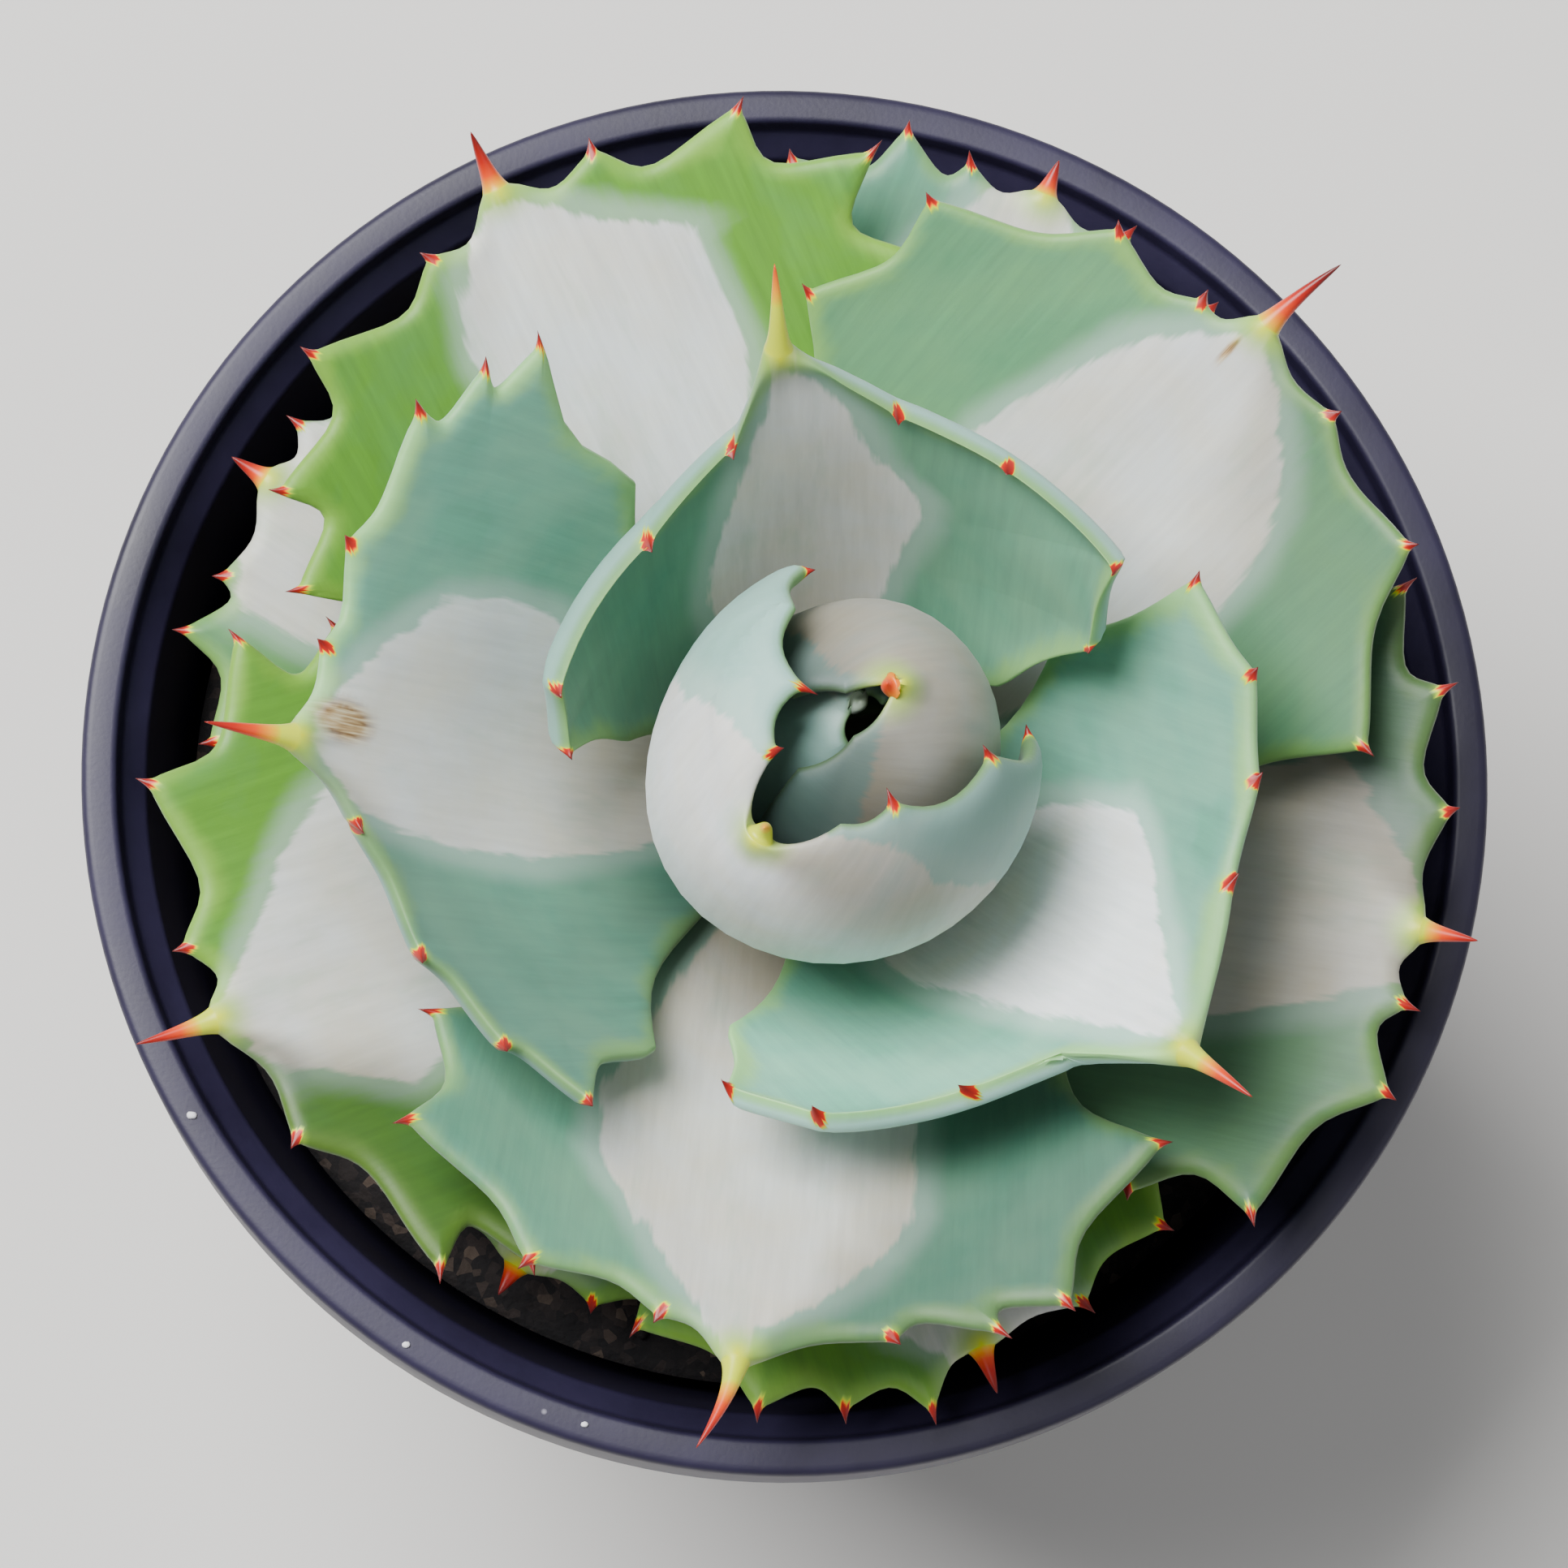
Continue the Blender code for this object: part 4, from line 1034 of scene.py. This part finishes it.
def crumb_layer(outer):
    """Points and faces of the thin crumbly layer on the soil plug, and its upper heights by
    step from stem to wall and by direction."""
    surface = POT_TOP - SOIL_DROP
    way = headings(np.linspace(0, 360, CRUMBS_AROUND, endpoint=False))
    inner = soil_spot(way, 0.4)
    share = np.linspace(0, 1, CRUMB_STEPS)[:, None, None]
    plan = inner + (way * outer - inner) * share
    reach = np.linalg.norm(plan, axis=2)
    half = wall_radius(surface) / 2
    mound = np.interp(reach, (0, half, outer), (SOIL_MOUND, SOIL_MOUND / 2, 0))
    flat = np.concatenate([plan, np.zeros((*reach.shape, 1))], 2).reshape(-1, 3)
    rough = (random_heights(flat, 1.3, 5) * 0.55 + random_heights(flat, 3.4, 6) * 0.5
             + random_heights(flat, 0.7, 7) * 0.25).reshape(reach.shape)
    fade = np.clip(np.minimum(share, 1 - share)[..., 0] * 12, 0, 1)
    top = surface + mound + 0.35 + (0.9 + rough) * fade
    under = surface + mound + 0.08
    grid = [np.concatenate([plan, level[..., None]], 2).reshape(-1, 3)
            for level in (top, under)]
    below = CRUMB_STEPS * CRUMBS_AROUND
    end = below - CRUMBS_AROUND
    faces = []
    for here in range(CRUMBS_AROUND):
        after = (here + 1) % CRUMBS_AROUND
        for row in range(0, end, CRUMBS_AROUND):
            a, b = row + here, row + after
            c, d = b + CRUMBS_AROUND, a + CRUMBS_AROUND
            faces.append((a, d, c, b))
            faces.append((a + below, b + below, c + below, d + below))
        faces.append((here, after, after + below, here + below))
        faces.append((end + after, end + here, end + here + below, end + after + below))
    return np.concatenate(grid), faces, top


def scattered_chips(count, outer, top):
    """Points and faces of loose chips on the crumbs, and a tone for each point."""
    draw = np.random.RandomState(11)
    points, faces, tones = [], [], []
    for chip in range(count):
        heading = draw.uniform(0, 360)
        place = 0.06 + 0.9 * draw.uniform() ** 0.7
        way = headings(heading)
        start = soil_spot(way, 1.4)
        at = start + (way * (outer - 1.4) - start) * place
        height = top[int(place * (CRUMB_STEPS - 1)), int(heading / 360 * CRUMBS_AROUND)]
        size = draw.uniform(0.35, 0.95) * (1.5 if draw.uniform() < 0.12 else 1.0)
        worn = 0.25 * random_heights(LUMP_POINTS * 3 + chip * 7.0, 2.0, 3)
        flattened = np.array((1.0, draw.uniform(0.55, 0.95), draw.uniform(0.35, 0.7)))
        body = LUMP_POINTS * (1 + worn)[:, None] * flattened * size
        turn = Matrix.Rotation(draw.uniform(0, 6.28), 3, "Z") @ Matrix.Rotation(
            draw.uniform(-0.5, 0.5), 3, "X")
        faces += (LUMP_FACES + len(points) * len(LUMP_POINTS)).tolist()
        points.append(body @ np.array(turn).T + (*at, height + 0.25 * size))
        pale = draw.uniform() < 0.04
        tones += [1.0 if pale else draw.uniform(0, 0.85)] * len(LUMP_POINTS)
    return np.concatenate(points), faces, tones


class AGAVE_OT_soil(bpy.types.Operator):
    """Makes the crumbly top of the potting mix with loose chips, and finishes the plug"""

    bl_idname = "agave.make_soil"
    bl_label = "Make potting mix"

    def execute(self, context):
        settings = context.scene.agave_pot
        finish = soil_finish(settings)
        refinish("soil", finish)
        outer = wall_radius(POT_TOP - SOIL_DROP) - WALL - 0.25
        points, faces, top = crumb_layer(outer)
        piece("soil_crumbs", points, faces, finish)
        if settings.chips:
            points, faces, tones = scattered_chips(settings.chips, outer, top)
            chips = piece("soil_chips", points, faces, grit_finish())
            store(chips.data, "tone", tones)
        return {"FINISHED"}


class AGAVE_OT_stem(bpy.types.Operator):
    """Makes the stem with its leaf scars, and finishes the roots"""

    bl_idname = "agave.make_stem"
    bl_label = "Make stem and roots"

    def execute(self, context):
        heights = np.linspace(STEM_TOP, -11.5, 90)
        scars = 0.16 * np.abs(np.sin(np.pi * (heights - COLLAR[1]) / COLLAR_STEP[1]))
        radii = [stem_radius(height) + 0.25 for height in heights] - scars
        packed_foot = stem_radius(-SOIL_DROP) - STEM_CLEARANCE
        profile = [(0.0, STEM_TOP + 0.5), (radii[0] * 0.6, STEM_TOP + 0.4),
                   *zip(radii, heights), (packed_foot, -13.2), (packed_foot, -SOIL_DROP - 0.4),
                   (packed_foot * 0.7, -SOIL_DROP - 9.0), (0.0, -SOIL_DROP - 9.0)]
        points, faces = turned([(radius, POT_TOP + height) for radius, height in profile], 96)
        angle = np.arctan2(points[:, 1], points[:, 0])
        ripple = 1 + 0.012 * np.sin(angle * 16 + points[:, 2] * 2.4)
        points[:, :2] = points[:, :2] * ripple[:, None] + PLANT_AXIS
        bark = bark_finish("Fibrous agave stem", "#5d6a3a", "#b9bd8b", 0.8)
        piece("stem_core", points, faces, bark, ("stem",))
        refinish("roots", bark_finish("Pale root skin", "#6f5536", "#c7ad80", 0.6))
        return {"FINISHED"}


class AGAVE_OT_leaves(bpy.types.Operator):
    """Makes the sixteen leaves of the rosette"""

    bl_idname = "agave.make_leaves"
    bl_label = "Make leaves"

    def execute(self, context):
        settings = context.scene.agave_plant
        inner = leaf_finish("Waxy blue-green agave skin", settings)
        outer = leaf_finish("Waxy yellow-green agave skin", settings)
        for number, leaf in enumerate(LEAVES, 1):
            young = number <= 6
            make_leaf(leaf, inner if young else outer,
                      settings.tooth_scale)
        return {"FINISHED"}


class AGAVE_OT_stage(bpy.types.Operator):
    """Makes the plain floor, the soft lights and the camera"""

    bl_idname = "agave.make_stage"
    bl_label = "Make stage"

    def execute(self, context):
        settings = context.scene.agave_stage
        # Matt painted board: pale and even, so that the pot's shadow shows.
        made, tree, shader = finish_of("Painted pale floor board")
        wire(tree, shader, {"Base Color": (*settings.floor, 1.0), "Roughness": 0.7})
        mesh = bpy.data.meshes.new("floor")
        corners = ((-1, -1), (1, -1), (1, 1), (-1, 1))
        mesh.from_pydata([(x * FLOOR_REACH, y * FLOOR_REACH, -0.0002) for x, y in corners],
                         [], [(0, 1, 2, 3)])
        mesh.materials.append(made)
        floor = bpy.data.objects.new("floor", mesh)
        context.scene.collection.objects.link(floor)

        world = bpy.data.worlds.new("Soft studio")
        world.use_nodes = True
        wire(world.node_tree, world.node_tree.nodes["Background"],
             {"Color": (*linear("#eef0f4"), 1.0), "Strength": settings.sky})
        context.scene.world = world

        aim = Vector((0.0, 0.0, POT_TOP * MM))
        for name, place, size in LAMPS:
            lamp = bpy.data.lights.new(name, "AREA")
            lamp.energy = getattr(settings, name + "_power")
            lamp.size = size
            holder = bpy.data.objects.new(name, lamp)
            holder.location = place
            holder.rotation_euler = (aim - Vector(place)).to_track_quat("-Z", "Y").to_euler()
            context.scene.collection.objects.link(holder)

        # The camera looks down at the rosette from just off the pot's axis.
        eye, target = Vector(EYE_MM) * MM, Vector(TARGET_MM) * MM
        ahead = (target - eye).normalized()
        right = ahead.cross(Vector((0, 1, 0))).normalized()
        up = right.cross(ahead)
        camera = bpy.data.cameras.new("camera")
        camera.lens = LENS
        camera.sensor_width = 36.0
        camera.clip_start = 0.01
        holder = bpy.data.objects.new("camera", camera)
        holder.matrix_world = Matrix((
            (right.x, up.x, -ahead.x, eye.x), (right.y, up.y, -ahead.y, eye.y),
            (right.z, up.z, -ahead.z, eye.z), (0, 0, 0, 1)))
        context.scene.collection.objects.link(holder)
        context.scene.camera = holder
        return {"FINISHED"}


class AGAVE_PT_panel(bpy.types.Panel):
    """Lists the plant's pieces and their settings"""

    bl_idname = "AGAVE_PT_panel"
    bl_label = "Potted agave"
    bl_space_type = "VIEW_3D"
    bl_region_type = "UI"
    bl_category = "Agave"

    def draw(self, context):
        for group, operators in (
            ("agave_pot", (AGAVE_OT_pot, AGAVE_OT_soil)),
            ("agave_plant", (AGAVE_OT_stem, AGAVE_OT_leaves)),
            ("agave_stage", (AGAVE_OT_stage,)),
        ):
            box = self.layout.box()
            settings = getattr(context.scene, group)
            for name in settings.bl_rna.properties.keys():
                if name not in ("rna_type", "name"):
                    box.prop(settings, name)
            for operator in operators:
                box.operator(operator.bl_idname)


GROUPS = {
    "agave_plant": AgavePlantSettings,
    "agave_pot": AgavePotSettings,
    "agave_stage": AgaveStageSettings,
}
CLASSES = (
    *GROUPS.values(), AGAVE_OT_pot, AGAVE_OT_soil, AGAVE_OT_stem, AGAVE_OT_leaves,
    AGAVE_OT_stage, AGAVE_PT_panel,
)


def register():
    for made in CLASSES:
        bpy.utils.register_class(made)
    for name, group in GROUPS.items():
        setattr(bpy.types.Scene, name, bpy.props.PointerProperty(type=group))


def unregister():
    for name in GROUPS:
        delattr(bpy.types.Scene, name)
    for made in reversed(CLASSES):
        bpy.utils.unregister_class(made)


def main():
    register()
    bpy.ops.agave.make_pot()
    bpy.ops.agave.make_soil()
    bpy.ops.agave.make_stem()
    bpy.ops.agave.make_leaves()
    bpy.ops.agave.make_stage()


if __name__ == "__main__":
    main()
